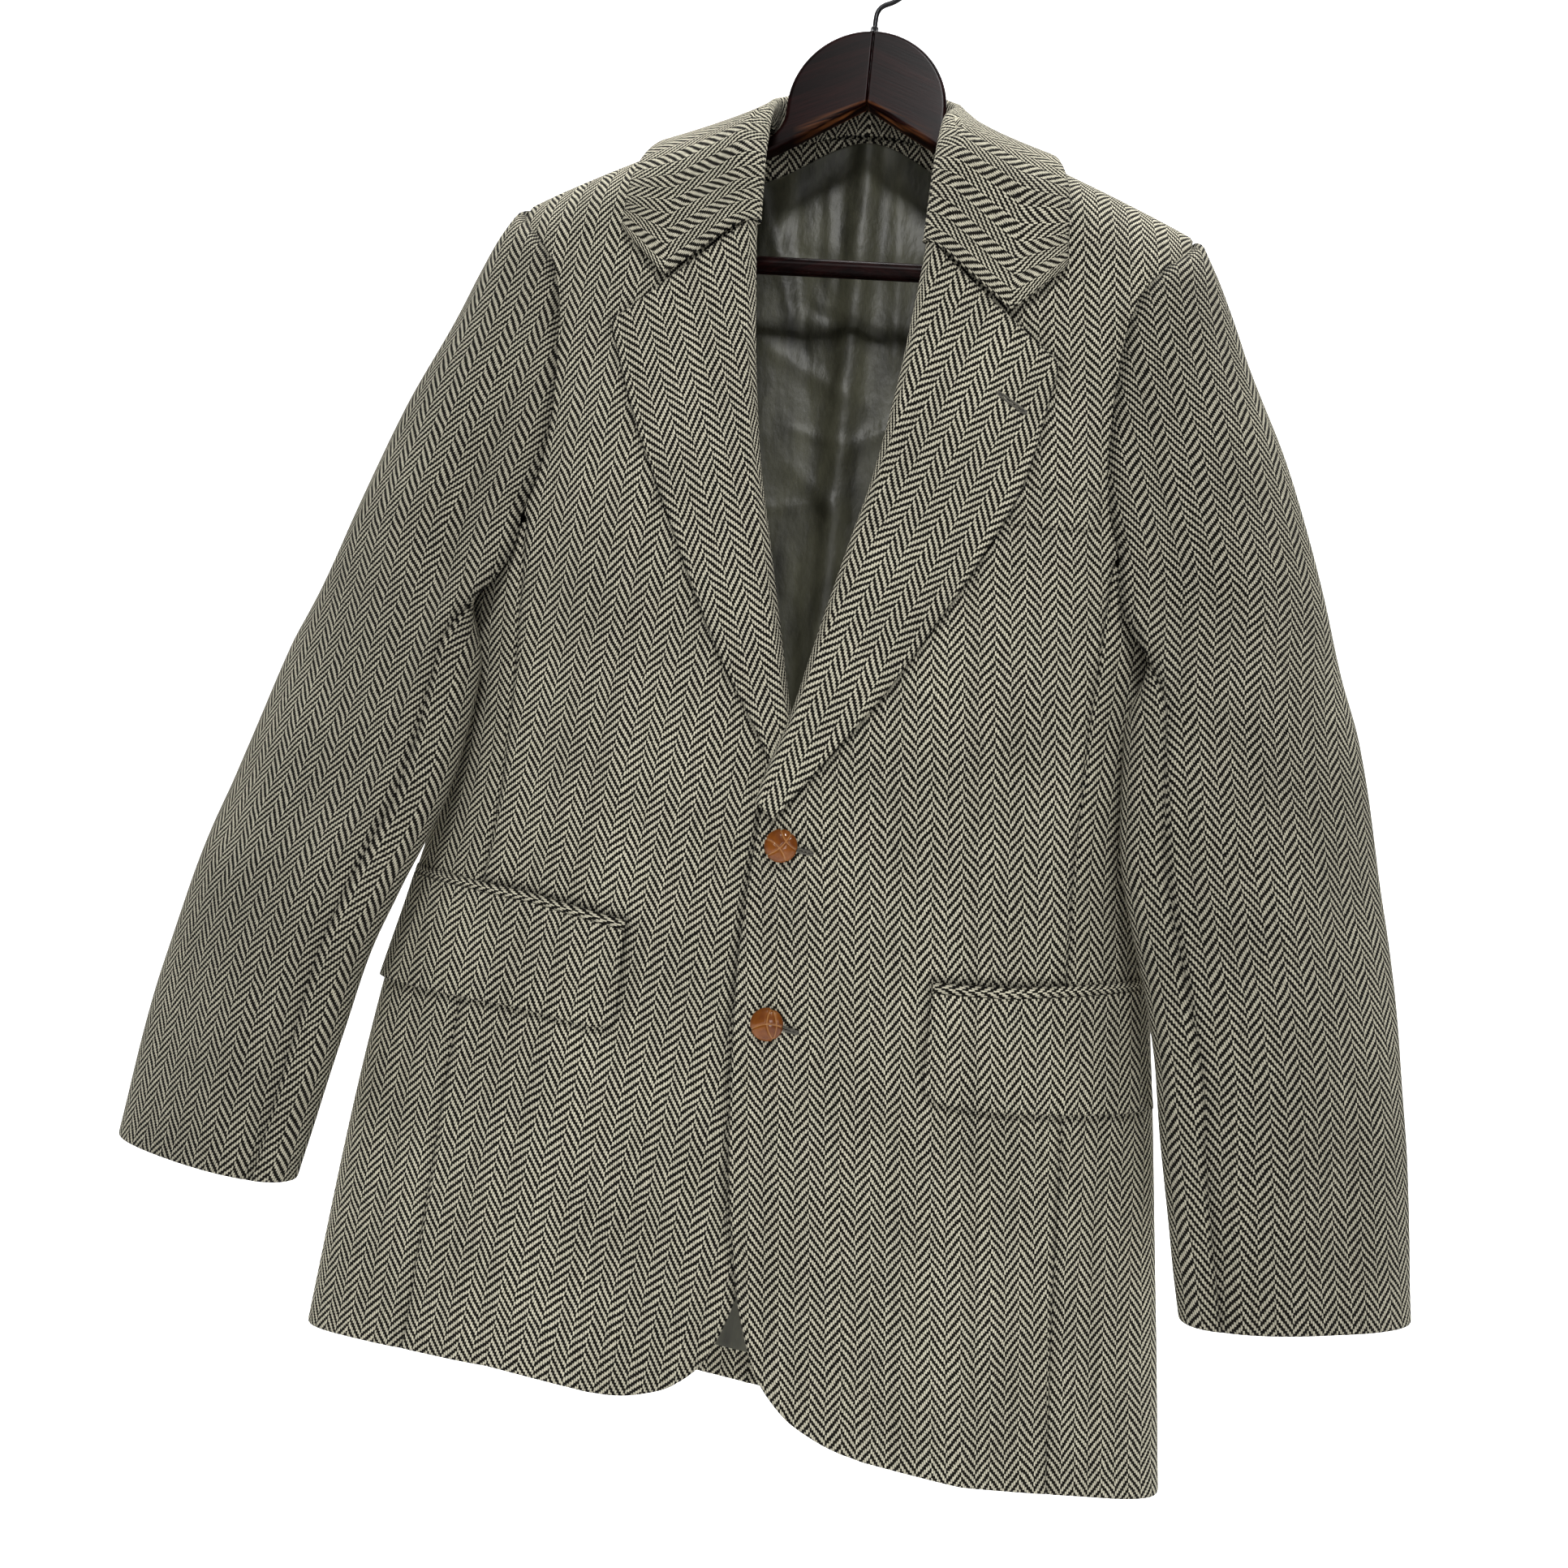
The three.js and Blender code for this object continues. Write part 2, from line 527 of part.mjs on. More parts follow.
function collarHalf(u, place) {
  const get = (key) => read(COLLAR, key, place);
  const fold = new THREE.Vector3(get("foldX"), get("foldY"), get("foldZ"));
  const over = new THREE.Vector3(get("outX"), get("outY"), get("outZ")).normalize();
  const toFront = ease((place - 2.6) / 2);
  if (u < STAND_SHARE) {
    const neck = yokeOut(get("neckX"), get("neckTurn"), -CLOTH);
    neck.z += mix(1.6, 0, toFront);
    neck.x -= mix(0, 0.9, toFront);
    const tall = fold.distanceTo(neck);
    const up = new THREE.Vector3(mix(-0.1, -1, toFront), 0, mix(1, 0, toFront)).multiplyScalar(tall);
    return hermite(neck, up, fold, over.multiplyScalar(mix(9, 7, toFront)), u / STAND_SHARE);
  }
  const t = (u - STAND_SHARE) / (1 - STAND_SHARE);
  const edge = yokeOut(get("edgeX"), get("edgeTurn"), LAPEL_EDGE_RISE);
  const length = fold.distanceTo(edge);
  const down = yoke(get("edgeX") + 4, get("edgeTurn")).sub(yoke(get("edgeX"), get("edgeTurn")));
  const way = down.setZ(down.z - mix(4, 0, toFront)).normalize().multiplyScalar(length * 0.8);
  const draped = hermite(fold, over.multiplyScalar(mix(20, 16, toFront)), edge, way, t);
  const lying = ease((place - 3.4) / 1.4);
  if (lying === 0) return draped;
  const start = [get("foldX") + 3.5 * lying, get("foldZ")];
  const droop = (place > 4 ? ((place - 4) / 2) ** 1.6 : 0) * Math.min(t / NOTCH.at, (1 - t) / (1 - NOTCH.at));
  const chordX = mix(start[0], edge.x, t);
  const chordZ = mix(start[1], edge.z, t);
  const endChordZ = mix(-160, -166, NOTCH.at);
  const flatZ = chordZ + droop * (NOTCH.z + GORGE_GAP - endChordZ);
  const onChest = liftedFront(chordX, flatZ, leafRise(t, ROLL_RISE_TOP), false);
  return draped.lerp(onChest, lying * ease(t / 0.12));
}

// The leaf and stand are one wall from gorge to gorge, so place runs both ways from the centre back.
function collar(u, along) {
  const point = collarHalf(u, Math.abs(along) * 6);
  point.x *= Math.sign(along) || 1;
  return point;
}
const COLLAR_COLUMNS = [0, 0.11, 0.2, 0.27, 0.32, 0.38, 0.46, 0.6, 0.734, 0.87, 1];
const COLLAR_ROWS = [0.08, 0.17, 0.27, 0.37, 0.46, 0.54, 0.62, 0.7, 0.78, 0.86, 0.93, 1];
const collarAlong = [...COLLAR_ROWS.map((t) => -t).reverse(), 0, ...COLLAR_ROWS];
add("collar", wall(collar, COLLAR_COLUMNS, collarAlong, ROLLED, 1), TWEED);

// ---- pockets: a narrow jet over a flap on each side, and a welt on the left chest ----
const FLAP_CLOTH = 1.6;
const JET_CLOTH = 1.4;
const JET_HEIGHT = 6;
const JET_BOW = 1.5;
const POCKET = table("side innerX innerTop innerBottom outerTop outerBottom", [
  [-1, 84, -581, -641, -566, -634],
  [1, 95, -582, -641, -566, -632],
]);
const POCKET_END = 0.975; // share of the body's half width that a flap reaches

function onPocket(pocket, u, height, rise) {
  const from = angleAt(pocket.innerX, height);
  const to = angleAt(POCKET_END * read(BODY, "halfWidth", height), height);
  const angle = mix(from, to, u);
  const point = around(angle, height);
  return movedOut(point, around(angle + 0.5, height), around(angle, height + 0.5), rise);
}
for (const pocket of POCKET) {
  const top = (u) => mix(pocket.innerTop, pocket.outerTop, u) + JET_BOW * Math.sin(Math.PI * clamp(u));
  const bottom = (u) => mix(pocket.innerBottom, pocket.outerBottom, u);
  const flap = (u, v) => {
    const away = clamp(1 - v) ** 1.5;
    return onPocket(pocket, u, mix(bottom(u), top(u) - SEAM, v), FLAP_CLOTH + 0.5 + 3 * away);
  };
  const jet = (u, v) => onPocket(pocket, u, top(u) + SEAM + JET_HEIGHT * v, JET_CLOTH + 0.5);
  addSide("pocket_flap", pocket.side, flap, steps(10), steps(4), FLAP_CLOTH, 1, TWEED);
  addSide("pocket_jet", pocket.side, jet, steps(10), [0, 1], JET_CLOTH, 1, TWEED_SHADE);
}

const WELT = { from: 113, to: 163, top: -296, height: 23, cloth: 1.2 };
const welt = (u, v) => {
  const height = WELT.top - WELT.height * (1 - v);
  return liftedFront(mix(WELT.from, WELT.to, u), height, WELT.cloth + 0.4, false);
};
addSide("breast_welt", 1, welt, steps(5), steps(2), WELT.cloth, 1, TWEED);

// ---- back lining, seen through the neck and the open front ----
const LINING_CLOTH = 1;
const LINING_GAP = 3;
const LINING_TOP_DROP = 12; // below the shoulder line
const PLEAT_WIDTH = 9;
const PLEAT_DEPTH = 5;
function lining(u, v) {
  const across = mix(-1, 1, u);
  const bottom = -838;
  const wide = (z) => Math.min(read(BACK, "outer", z) - 9, read(BODY, "halfWidth", z) * 0.8);
  const roughTop = shoulderLine(150) - LINING_TOP_DROP;
  let z = mix(bottom, roughTop, v);
  const x = across * wide(z);
  const reach = Math.abs(x);
  const top = reach < NECK_SIDE ? neckline(reach) - 2 : shoulderLine(reach) - 2;
  z = mix(bottom, top - LINING_TOP_DROP * ease(reach / NECK_SIDE), v);
  const pleat = PLEAT_DEPTH * Math.exp(-((x / PLEAT_WIDTH) ** 2)) * ease((v - 0.02) / 0.3);
  const point = onBack(x, z);
  return movedOut(point, onBack(x - 0.5, z), onBack(x, z + 0.5), -(CLOTH + LINING_GAP + pleat));
}
const LINING_COLUMNS = [0, 0.12, 0.24, 0.36, 0.44, 0.475, 0.5, 0.525, 0.56, 0.64, 0.76, 0.88, 1];
const LINING_ROWS = [...steps(9).map((t) => t * 0.85), 0.9, 0.95, 1];
add("lining_back", wall(lining, LINING_COLUMNS, LINING_ROWS, LINING_CLOTH, -1), SATIN);

// ---- buttons: domed leather on a short shank ----
const BUTTONS = BUTTON_HEIGHTS.map((height, i) => ({ height, x: 3 - i }));
const SHANK_RADIUS = 2.4;
const SHANK_LENGTH = 1.6;
function buttonGeometry() {
  const outline = [
    [0, 0],
    [SHANK_RADIUS, 0],
    [SHANK_RADIUS, SHANK_LENGTH],
    [BUTTON_RADIUS * 0.86, SHANK_LENGTH],
    [BUTTON_RADIUS, SHANK_LENGTH + 1.4],
  ];
  for (const t of steps(5).slice(1)) {
    const angle = (Math.PI / 2) * t;
    const rise = (BUTTON_HEIGHT - 1.4) * Math.sin(angle);
    outline.push([BUTTON_RADIUS * Math.cos(angle), SHANK_LENGTH + 1.4 + rise]);
  }
  outline[outline.length - 1][0] = 0;
  return new THREE.LatheGeometry(outline.map(([x, y]) => new THREE.Vector2(x, y)), 24);
}
BUTTONS.forEach(({ height, x }, i) => {
  const seat = hang(liftedFront(x, height, SEAM, true), 1);
  const button = add(`button_${i === 0 ? "lower" : "upper"}`, buttonGeometry(), LEATHER);
  button.rotation.x = Math.PI;
  button.position.copy(seat);
});

// ---- hanger: two flat arms glued at the middle, a trouser bar, a ferrule and a wire hook ----
const ARCH_RADIUS = 50.5;
const ARM_END = 197;
const ARM_BLOCK = 172; // the bar is set between the blocks at the arms' ends
const ARM_BOTTOM = -160;
const ARM_EDGE = 1.5; // rounding of the wood's edges
const ARM_CLEARANCE = 1.3; // the shoulder curves down in front of and behind the arm's top corners
const UNDERSIDE = { apex: -47, bendX: 55, bendZ: -79, endZ: -139 };
const BAR = { radius: 5.5, height: -152 };
const GLUE_LINE = 0.15;

function armShape() {
  const shape = new THREE.Shape();
  const armTop = (x) => shoulderLine(x) - CLOTH - ARM_CLEARANCE;
  shape.moveTo(GLUE_LINE + ARM_EDGE, UNDERSIDE.apex + 1.4);
  shape.lineTo(UNDERSIDE.bendX, UNDERSIDE.bendZ + ARM_EDGE);
  shape.lineTo(ARM_BLOCK + ARM_EDGE, UNDERSIDE.endZ + ARM_EDGE);
  shape.lineTo(ARM_BLOCK + ARM_EDGE, ARM_BOTTOM + ARM_EDGE);
  shape.lineTo(ARM_END - 6, ARM_BOTTOM + ARM_EDGE);
  shape.lineTo(ARM_END - ARM_EDGE, ARM_BOTTOM + 8);
  shape.lineTo(ARM_END - ARM_EDGE, armTop(ARM_END) - 8);
  shape.lineTo(ARM_END - 8, armTop(ARM_END - 8) - ARM_EDGE);
  shape.lineTo(NECK_SIDE + 8, armTop(NECK_SIDE + 8) - ARM_EDGE);
  shape.lineTo(NECK_SIDE - 4, armTop(NECK_SIDE) - 4);
  shape.lineTo(ARCH_RADIUS - 0.5, -ARCH_RADIUS - 10);
  shape.absarc(0, -ARCH_RADIUS, ARCH_RADIUS - ARM_EDGE, 0, Math.PI / 2 - 0.04, false);
  return shape;
}
function armGeometry() {
  const depth = HANGER_THICK - 2 * ARM_EDGE;
  const bevel = { bevelThickness: ARM_EDGE, bevelSize: ARM_EDGE, bevelSegments: 2 };
  const geometry = new THREE.ExtrudeGeometry(armShape(), { depth, curveSegments: 10, ...bevel });
  return geometry.translate(0, 0, -depth / 2).rotateX(Math.PI / 2);
}
for (const side of SIDES) {
  const arm = add(`hanger_arm_${side > 0 ? "left" : "right"}`, armGeometry(), MAHOGANY);
  arm.rotation.z = side > 0 ? 0 : Math.PI;
}
const barLength = 2 * (ARM_BLOCK - SEAM);
const barGeometry = new THREE.CylinderGeometry(BAR.radius, BAR.radius, barLength, 20);
const bar = add("trouser_bar", barGeometry, MAHOGANY);
bar.rotation.z = Math.PI / 2;
bar.position.z = BAR.height;

const FERRULE = { radius: 3.2, foot: 0.3, top: 4.5 };
const ferruleHeight = FERRULE.top - FERRULE.foot;
const ferruleGeometry = new THREE.CylinderGeometry(2.4, FERRULE.radius, ferruleHeight, 16);
const ferrule = add("hook_ferrule", ferruleGeometry, BLACK_STEEL);
ferrule.rotation.x = Math.PI / 2;
ferrule.position.z = (FERRULE.top + FERRULE.foot) / 2;

// The wire rises from the ferrule, turns to the wearer's left and runs round to its tip.
function hookPath() {
  const centre = HOOK_SHANK + HOOK_RADIUS;
  const points = [
    [0, FERRULE.top + SEAM],
    [0, 9],
    [0.3, 13.5],
    [2, 17.4],
  ];
  for (let degrees = -76; degrees <= 200; degrees += 12) {
    const angle = THREE.MathUtils.degToRad(degrees);
    points.push([HOOK_RADIUS * Math.cos(angle), centre + HOOK_RADIUS * Math.sin(angle)]);
  }
  return new THREE.CatmullRomCurve3(points.map(([x, z]) => new THREE.Vector3(x, 0, z)));
}
const wire = new THREE.Shape().absarc(0, 0, WIRE_RADIUS, 0, 2 * Math.PI, false);
const bending = { extrudePath: hookPath(), steps: 44, curveSegments: 6 };
add("hook", new THREE.ExtrudeGeometry(wire, bending), BLACK_STEEL);

export default jacket;
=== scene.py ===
# %% [markdown]
# # A tweed hacking jacket on its hanger
#
# The jacket is wool tweed in a black and cream herringbone. It hangs buttoned on a dark wooden hanger, a
# little askew, so one front drops lower than the other. Cloth takes its looks from three things: its cut, the
# way each edge is turned and sewn, and its weave. The cells below build them in that order.
#
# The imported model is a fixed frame. Every piece made here takes the place of one plain solid of that frame.

# %% Load the frame
import math
import bmesh
import bpy
import numpy as np
from mathutils import Matrix, Vector
from mathutils.kdtree import KDTree


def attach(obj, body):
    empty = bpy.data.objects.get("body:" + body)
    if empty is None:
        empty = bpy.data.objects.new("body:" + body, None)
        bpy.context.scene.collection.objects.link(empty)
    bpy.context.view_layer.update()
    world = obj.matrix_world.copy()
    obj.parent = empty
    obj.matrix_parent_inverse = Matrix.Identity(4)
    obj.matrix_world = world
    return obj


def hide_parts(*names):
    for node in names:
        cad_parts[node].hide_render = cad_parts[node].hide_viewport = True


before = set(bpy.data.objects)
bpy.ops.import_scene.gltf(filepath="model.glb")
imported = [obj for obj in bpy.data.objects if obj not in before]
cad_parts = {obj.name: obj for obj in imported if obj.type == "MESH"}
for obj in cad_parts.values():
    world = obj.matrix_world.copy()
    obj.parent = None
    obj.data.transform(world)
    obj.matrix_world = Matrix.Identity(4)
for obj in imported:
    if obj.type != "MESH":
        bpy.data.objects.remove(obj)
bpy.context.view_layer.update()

# %% [markdown]
# ## Where the viewer stands
#
# A camera close to a garment widens what is near it, so the distance matters as much as the direction. This
# one stands 0.89 m in front of the hanger, looks a little to the left and upwards, and is held slightly
# tilted. Three directions that stand square to each other say that without any angles to get wrong.

# %% Camera
CAMERA_PLACE = Vector((0.0977, -0.8854, -0.5776))
CAMERA_AHEAD = Vector((-0.12, 0.992, 0.043)).normalized()
CAMERA_RIGHT = Vector((0.988, 0.115, 0.1))
CAMERA_LENS_MM = 33.09
SENSOR_MM = 36.0

camera_right = (CAMERA_RIGHT - CAMERA_AHEAD * CAMERA_RIGHT.dot(CAMERA_AHEAD)).normalized()
camera_up = camera_right.cross(CAMERA_AHEAD)
camera_data = bpy.data.cameras.new("camera")
camera_data.lens = CAMERA_LENS_MM
camera_data.sensor_width = SENSOR_MM
camera = bpy.data.objects.new("camera", camera_data)
bpy.context.scene.collection.objects.link(camera)
turned = Matrix((camera_right, camera_up, -CAMERA_AHEAD)).transposed().to_4x4()
camera.matrix_world = Matrix.Translation(CAMERA_PLACE) @ turned
bpy.context.scene.camera = camera
print("camera roll", round(math.degrees(math.asin(camera_right.z)), 1), "degrees")

# %% [markdown]
# ## Small tools for curves
#
# Tailoring is drawn with smooth curves through a few measured points. `table` keeps such points as named
# columns, and `read` follows them with a curve that never swings past a point. All of this works on whole
# arrays at once, in millimetres, with heights measured down from the top of the hanger.

# %% Curves
HANGER_TOP = -61.4


def table(names, rows):
    """Named columns of numbers, in rising order of the first one."""
    columns = np.array(rows, float).T
    return dict(zip(names.split(), columns), by=columns[0])


def read(rows, key, at):
    """A column's value at a value of the first column."""
    by, values = rows["by"], rows[key]
    slope = np.diff(values) / np.diff(by)
    product, total = slope[:-1] * slope[1:], slope[:-1] + slope[1:]
    inner = np.where(product > 0, 2 * product / np.where(product > 0, total, 1), 0)
    bend = np.concatenate([slope[:1], inner, slope[-1:]])
    at = np.clip(at, by[0], by[-1])
    i = np.clip(np.searchsorted(by, at, side="right") - 1, 0, len(by) - 2)
    span = by[i + 1] - by[i]
    t = (at - by[i]) / span
    ends = values[i] * (1 + 2 * t) * (1 - t) ** 2 + values[i + 1] * t * t * (3 - 2 * t)
    return ends + span * (bend[i] * t * (1 - t) ** 2 - bend[i + 1] * t * t * (1 - t))


def lerp(a, b, t):
    return a + (b - a) * t


def clamp(t):
    return np.clip(t, 0, 1)


def ease(t):
    return clamp(t) ** 2 * (3 - 2 * clamp(t))


def point(x, y, z):
    return np.stack(np.broadcast_arrays(x, y, z), -1)


def unit(vectors):
    return vectors / np.maximum(np.linalg.norm(vectors, axis=-1, keepdims=True), 1e-12)


def lengths_along(points, axis=0):
    """How far each point lies along its own column (axis 0) or row (axis 1) of points."""
    gaps = np.linalg.norm(np.diff(points, axis=axis), axis=-1)
    return np.insert(np.cumsum(gaps, axis=axis), 0, 0, axis=axis)


def evenly(line, count, closed=False):
    """The same line with this many points, evenly spaced."""
    length = lengths_along(line)
    at = np.linspace(0, length[-1], count, endpoint=not closed)
    return np.stack([np.interp(at, length, column) for column in line.T], -1)


def choose(test, a, b):
    """Row by row, the point of a where test is true and of b elsewhere."""
    return np.where(np.asarray(test)[..., None], a, b)


print("ease(0.5) =", float(ease(0.5)))

# %% [markdown]
# ## The form that the cloth hangs in
#
# An empty jacket on a hanger is a flattened tube. Its depth and half width change from the hem up to the
# chest, and near the top it rounds over a sloping shoulder line. Everything else is cut from this one form,
# so that a lapel, a flap or a button can lie exactly on the front it belongs to.

# %% Body form
CLOTH = 2.2
ROLLED = 2.4
ROLL_GAP = 0.7
SQUARENESS = 2.6
HEM_FRONT = -850
HEM_BACK = -858
FAN = -200
FAN_SHARE = 0.35
NECK_SIDE = 62
NECK_SIDE_HEIGHT = -66
NECK_BACK_HEIGHT = -48
NECK_RISE = 44
SHOULDER_SLOPE = 0.4
SHOULDER_ROUND = 55
UNDERARM = -338
FRONT_DROP = 14
COLLAR_TILT = 5
HEM_SWING = 11

BODY = table("height halfWidth front back", [
    [-870, 264, 54, 44],
    [-740, 251, 58, 46],
    [-640, 239, 63, 46],
    [-580, 230, 67, 43],
    [-480, 217, 71, 40],
    [-340, 226, 73, 48],
    [-200, 222, 69, 48],
    [-20, 222, 66, 46],
])
FRONT = table("height inner outer", [
    [-850, 82, 192],
    [-848, 66, 192],
    [-844, 52, 191],
    [-834, 32, 190],
    [-814, 14, 189],
    [-767, -2, 186],
    [-682, -14, 182],
    [-591, -18, 175],
    [-496, -12, 170],
    [-440, 4, 170],
    [-385, 17, 172],
    [UNDERARM, 28, 174],
    [-305, 36, 167],
    [-270, 42, 163.5],
    [-225, 48, 165],
    [-205, 50, 167],
    [-180, 52.5, 173.5],
    [-160, 54, 186],
    [-141, 55, 201],
    [-124, 56, 207.5],
    [-95, 58.5, 207.5],
    [-66, 62, 207.5],
])
BACK = table("height outer", [
    [-858, 196],
    [-640, 178],
    [-480, 160],
    [UNDERARM, 178],
    [-270, 171],
    [-225, 172],
    [-180, 179],
    [-160, 189],
    [-141, 202],
    [-124, 207.5],
])


def body_depth(is_front, height):
    return np.where(is_front, read(BODY, "front", height), read(BODY, "back", height))


def shoulder_line(x):
    reach = np.abs(x)
    over_neck = NECK_SIDE_HEIGHT + NECK_RISE * (1 - (reach / NECK_SIDE) ** 2)
    return np.where(reach >= NECK_SIDE, NECK_SIDE_HEIGHT - SHOULDER_SLOPE * (reach - NECK_SIDE), over_neck)


def flatness(x, height):
    share = np.minimum(1, np.abs(x) / read(BODY, "halfWidth", height))
    return (1 - share**SQUARENESS) ** (1 / SQUARENESS)


def yoke(x, turn):
    """A point of the outside; turn is the angle over the shoulder, and past 90 a drop in millimetres."""
    turn = np.asarray(turn, float)
    side = np.where(turn < 0, -1, 1)
    angle = np.radians(np.minimum(90, np.abs(turn)))
    drop = SHOULDER_ROUND * (1 - np.cos(angle)) + np.maximum(0, np.abs(turn) - 90)
    z = shoulder_line(x) - drop
    return point(x, side * body_depth(side < 0, z) * flatness(x, z) * np.sin(angle), z)


def turn_at(x, height):
    drop = shoulder_line(x) - height
    near = np.degrees(np.arccos(clamp(1 - np.maximum(0, drop) / SHOULDER_ROUND)))
    return np.where(drop >= SHOULDER_ROUND, 90 + drop - SHOULDER_ROUND, near)


def on_front(x, height):
    return yoke(x, -turn_at(x, height))


def on_back(x, height):
    return yoke(x, turn_at(x, height))


def around(angle, height):
    """A point round the body: 0 is the centre front, 90 the side, 180 the centre back."""
    radians = np.radians(angle)
    ahead = np.cos(radians) >= 0
    x = read(BODY, "halfWidth", height) * np.abs(np.sin(radians)) ** (2 / SQUARENESS)
    y = body_depth(ahead, height) * np.abs(np.cos(radians)) ** (2 / SQUARENESS)
    return point(x, np.where(ahead, -y, y), height)


def angle_at(x, height):
    share = np.minimum(1, x / read(BODY, "halfWidth", height))
    return np.degrees(np.arcsin(share ** (SQUARENESS / 2)))


def hang(points, share):
    """The whole jacket hangs a little askew: the left front drops and the hem swings to the right side."""
    x, y, z = points[..., 0], points[..., 1], points[..., 2]
    reach = np.abs(x)
    lower = FRONT_DROP * ease((-350 - z) / 300) * np.minimum(1, reach / 140) * share
    near_collar = ease(reach / 70) * (1 - ease((reach - 130) / 50)) * ease((-120 - z) / 45)
    tilt = COLLAR_TILT * near_collar * ease((z + 420) / 150)
    swing = HEM_SWING * ease((-300 - z) / 450) * np.minimum(1, reach / 230) ** 2
    return point(x - swing, y, z - np.sign(x) * (lower + tilt))


print("half width at the waist", float(read(BODY, "halfWidth", -480)), "mm")

# %% [markdown]
# ## Creases
#
# Tweed is thick, so it bends in long soft troughs instead of sharp wrinkles. Each row below is one of them: a
# line on the front, the back or the sleeves, with a width and a depth. A positive depth stands out and a
# negative one sinks in. They are uneven on purpose, because no two sides of a hung jacket fold alike.

# %% Crease tables
CREASE_NAMES = "x0 z0 x1 z1 width depth"
FRONT_CREASES = table(CREASE_NAMES, [
    [-178, -250, -150, -400, 15, -2.6],
    [-140, -235, -112, -330, 26, 2.4],
    [-152, -420, -148, -560, 20, -1.6],
    [-92, -377, -84, -560, 7, -1.1],
    [-62, -440, -58, -560, 34, 1.8],
    [-14, -512, -88, -484, 9, -1.2],
    [-18, -528, -104, -546, 11, -1.1],
    [-22, -618, -96, -648, 13, -1.3],
    [-128, -660, -150, -845, 24, 2.6],
    [-70, -700, -78, -845, 22, -2.2],
    [-205, -650, -228, -840, 20, -2.4],
    [178, -245, 156, -410, 16, -2.4],
    [140, -240, 118, -350, 28, 2.2],
    [105, -430, 113, -568, 7, -1.1],
    [72, -440, 66, -570, 32, 1.6],
    [26, -512, 96, -492, 10, -1.1],
    [24, -622, 92, -652, 12, -1.1],
    [150, -430, 160, -560, 20, -1.8],
    [122, -680, 138, -850, 26, 2.4],
    [66, -720, 74, -850, 22, -2.2],
    [198, -660, 216, -850, 20, -2.6],
    [0, -700, 8, -830, 26, 1.4],
])
BACK_CREASES = table(CREASE_NAMES, [
    [-172, -260, -120, -400, 18, -3],
    [170, -255, 126, -380, 16, -2.6],
    [-60, -120, 60, -124, 15, -1.6],
    [-46, -300, -52, -520, 36, 1.8],
    [64, -310, 58, -540, 34, 1.6],
    [-150, -470, -60, -500, 16, -1.5],
    [150, -490, 70, -515, 18, -1.4],
    [-120, -620, -132, -850, 26, 2.8],
    [-62, -640, -70, -850, 20, -2.2],
    [118, -600, 130, -850, 24, 2.6],
    [60, -650, 66, -850, 22, -2.4],
    [190, -620, 210, -850, 20, -2.4],
    [-196, -640, -220, -850, 18, -2.2],
])
SLEEVE_CREASES = table(CREASE_NAMES, [
    [-196, -250, -232, -450, 11, -3.2],
    [-222, -190, -262, -400, 20, 2.2],
    [-200, -160, -196, -230, 9, -1.5],
    [-206, -470, -262, -505, 13, -2.4],
    [-212, -520, -290, -530, 15, -2],
    [-226, -560, -262, -590, 12, -1.6],
    [-345, -520, -318, -560, 14, -1.8],
    [-300, -470, -322, -640, 22, 1.8],
    [-262, -610, -285, -725, 14, -1.6],
    [-330, -600, -350, -725, 16, -1.4],
    [196, -250, 214, -430, 11, -2.8],
    [228, -190, 268, -420, 22, 2.2],
    [202, -480, 252, -505, 13, -2.2],
    [212, -528, 280, -548, 15, -2],
    [334, -500, 306, -545, 14, -1.7],
    [292, -480, 312, -650, 22, 1.8],
    [262, -620, 276, -735, 14, -1.6],
    [330, -610, 338, -735, 16, -1.5],
])


def crease_field(creases, x, z):
    """The sum of the soft troughs and ridges at a place, in millimetres."""
    total = np.zeros_like(x)
    for x0, z0, x1, z1, width, depth in zip(*(creases[key] for key in CREASE_NAMES.split())):
        along = np.array([x1 - x0, z1 - z0])
        t = clamp(((x - x0) * along[0] + (z - z0) * along[1]) / (along @ along))
        away = (x - x0 - t * along[0]) ** 2 + (z - z0 - t * along[1]) ** 2
        total += depth * np.exp(-away / width**2) * (0.55 + 0.45 * np.sin(np.pi * clamp(t)))
    return total


def body_rise(points, normals):
    """How far the cloth is moved out: by the front's creases where it faces ahead, else by the back's."""
    x, z, ahead = points[..., 0], points[..., 2], normals[..., 1]
    front = crease_field(FRONT_CREASES, x, z) * clamp(-ahead)
    return front + crease_field(BACK_CREASES, x, z) * clamp(ahead)


def sleeve_rise(points, normals):
    x, z, ahead = points[..., 0], points[..., 2], normals[..., 1]
    front = crease_field(SLEEVE_CREASES, x, z) * clamp(-ahead)
    behind = 0.9 * crease_field(SLEEVE_CREASES, x * 1.03, z + 28) * clamp(ahead)
    soft = 0.5 * np.sin(z / 31 + 2 * np.sign(x)) * np.sin(x / 17) * ease((-400 - z) / 60)
    return front + behind + soft * (1 - ease((-690 - z) / 40))


print(len(FRONT_CREASES["by"]) + len(BACK_CREASES["by"]) + len(SLEEVE_CREASES["by"]), "creases")

# %% [markdown]
# ## From a cut to sewn cloth
#
# A cut piece becomes a thin closed shell: an outside, an inside and the edge between them. Two kinds of edge
# give tailored cloth away. A turned edge, as on a lapel or a hem, is rolled round. A sewn edge dips where the
# thread pulls it into the seam. `cloth` asks for the distance to each kind of edge and bends the shell there.
#
# It also writes the grain on every point: how far along and across the weave the point lies, in metres. The
# weave then follows each piece as it was cut, and not the space it hangs in.

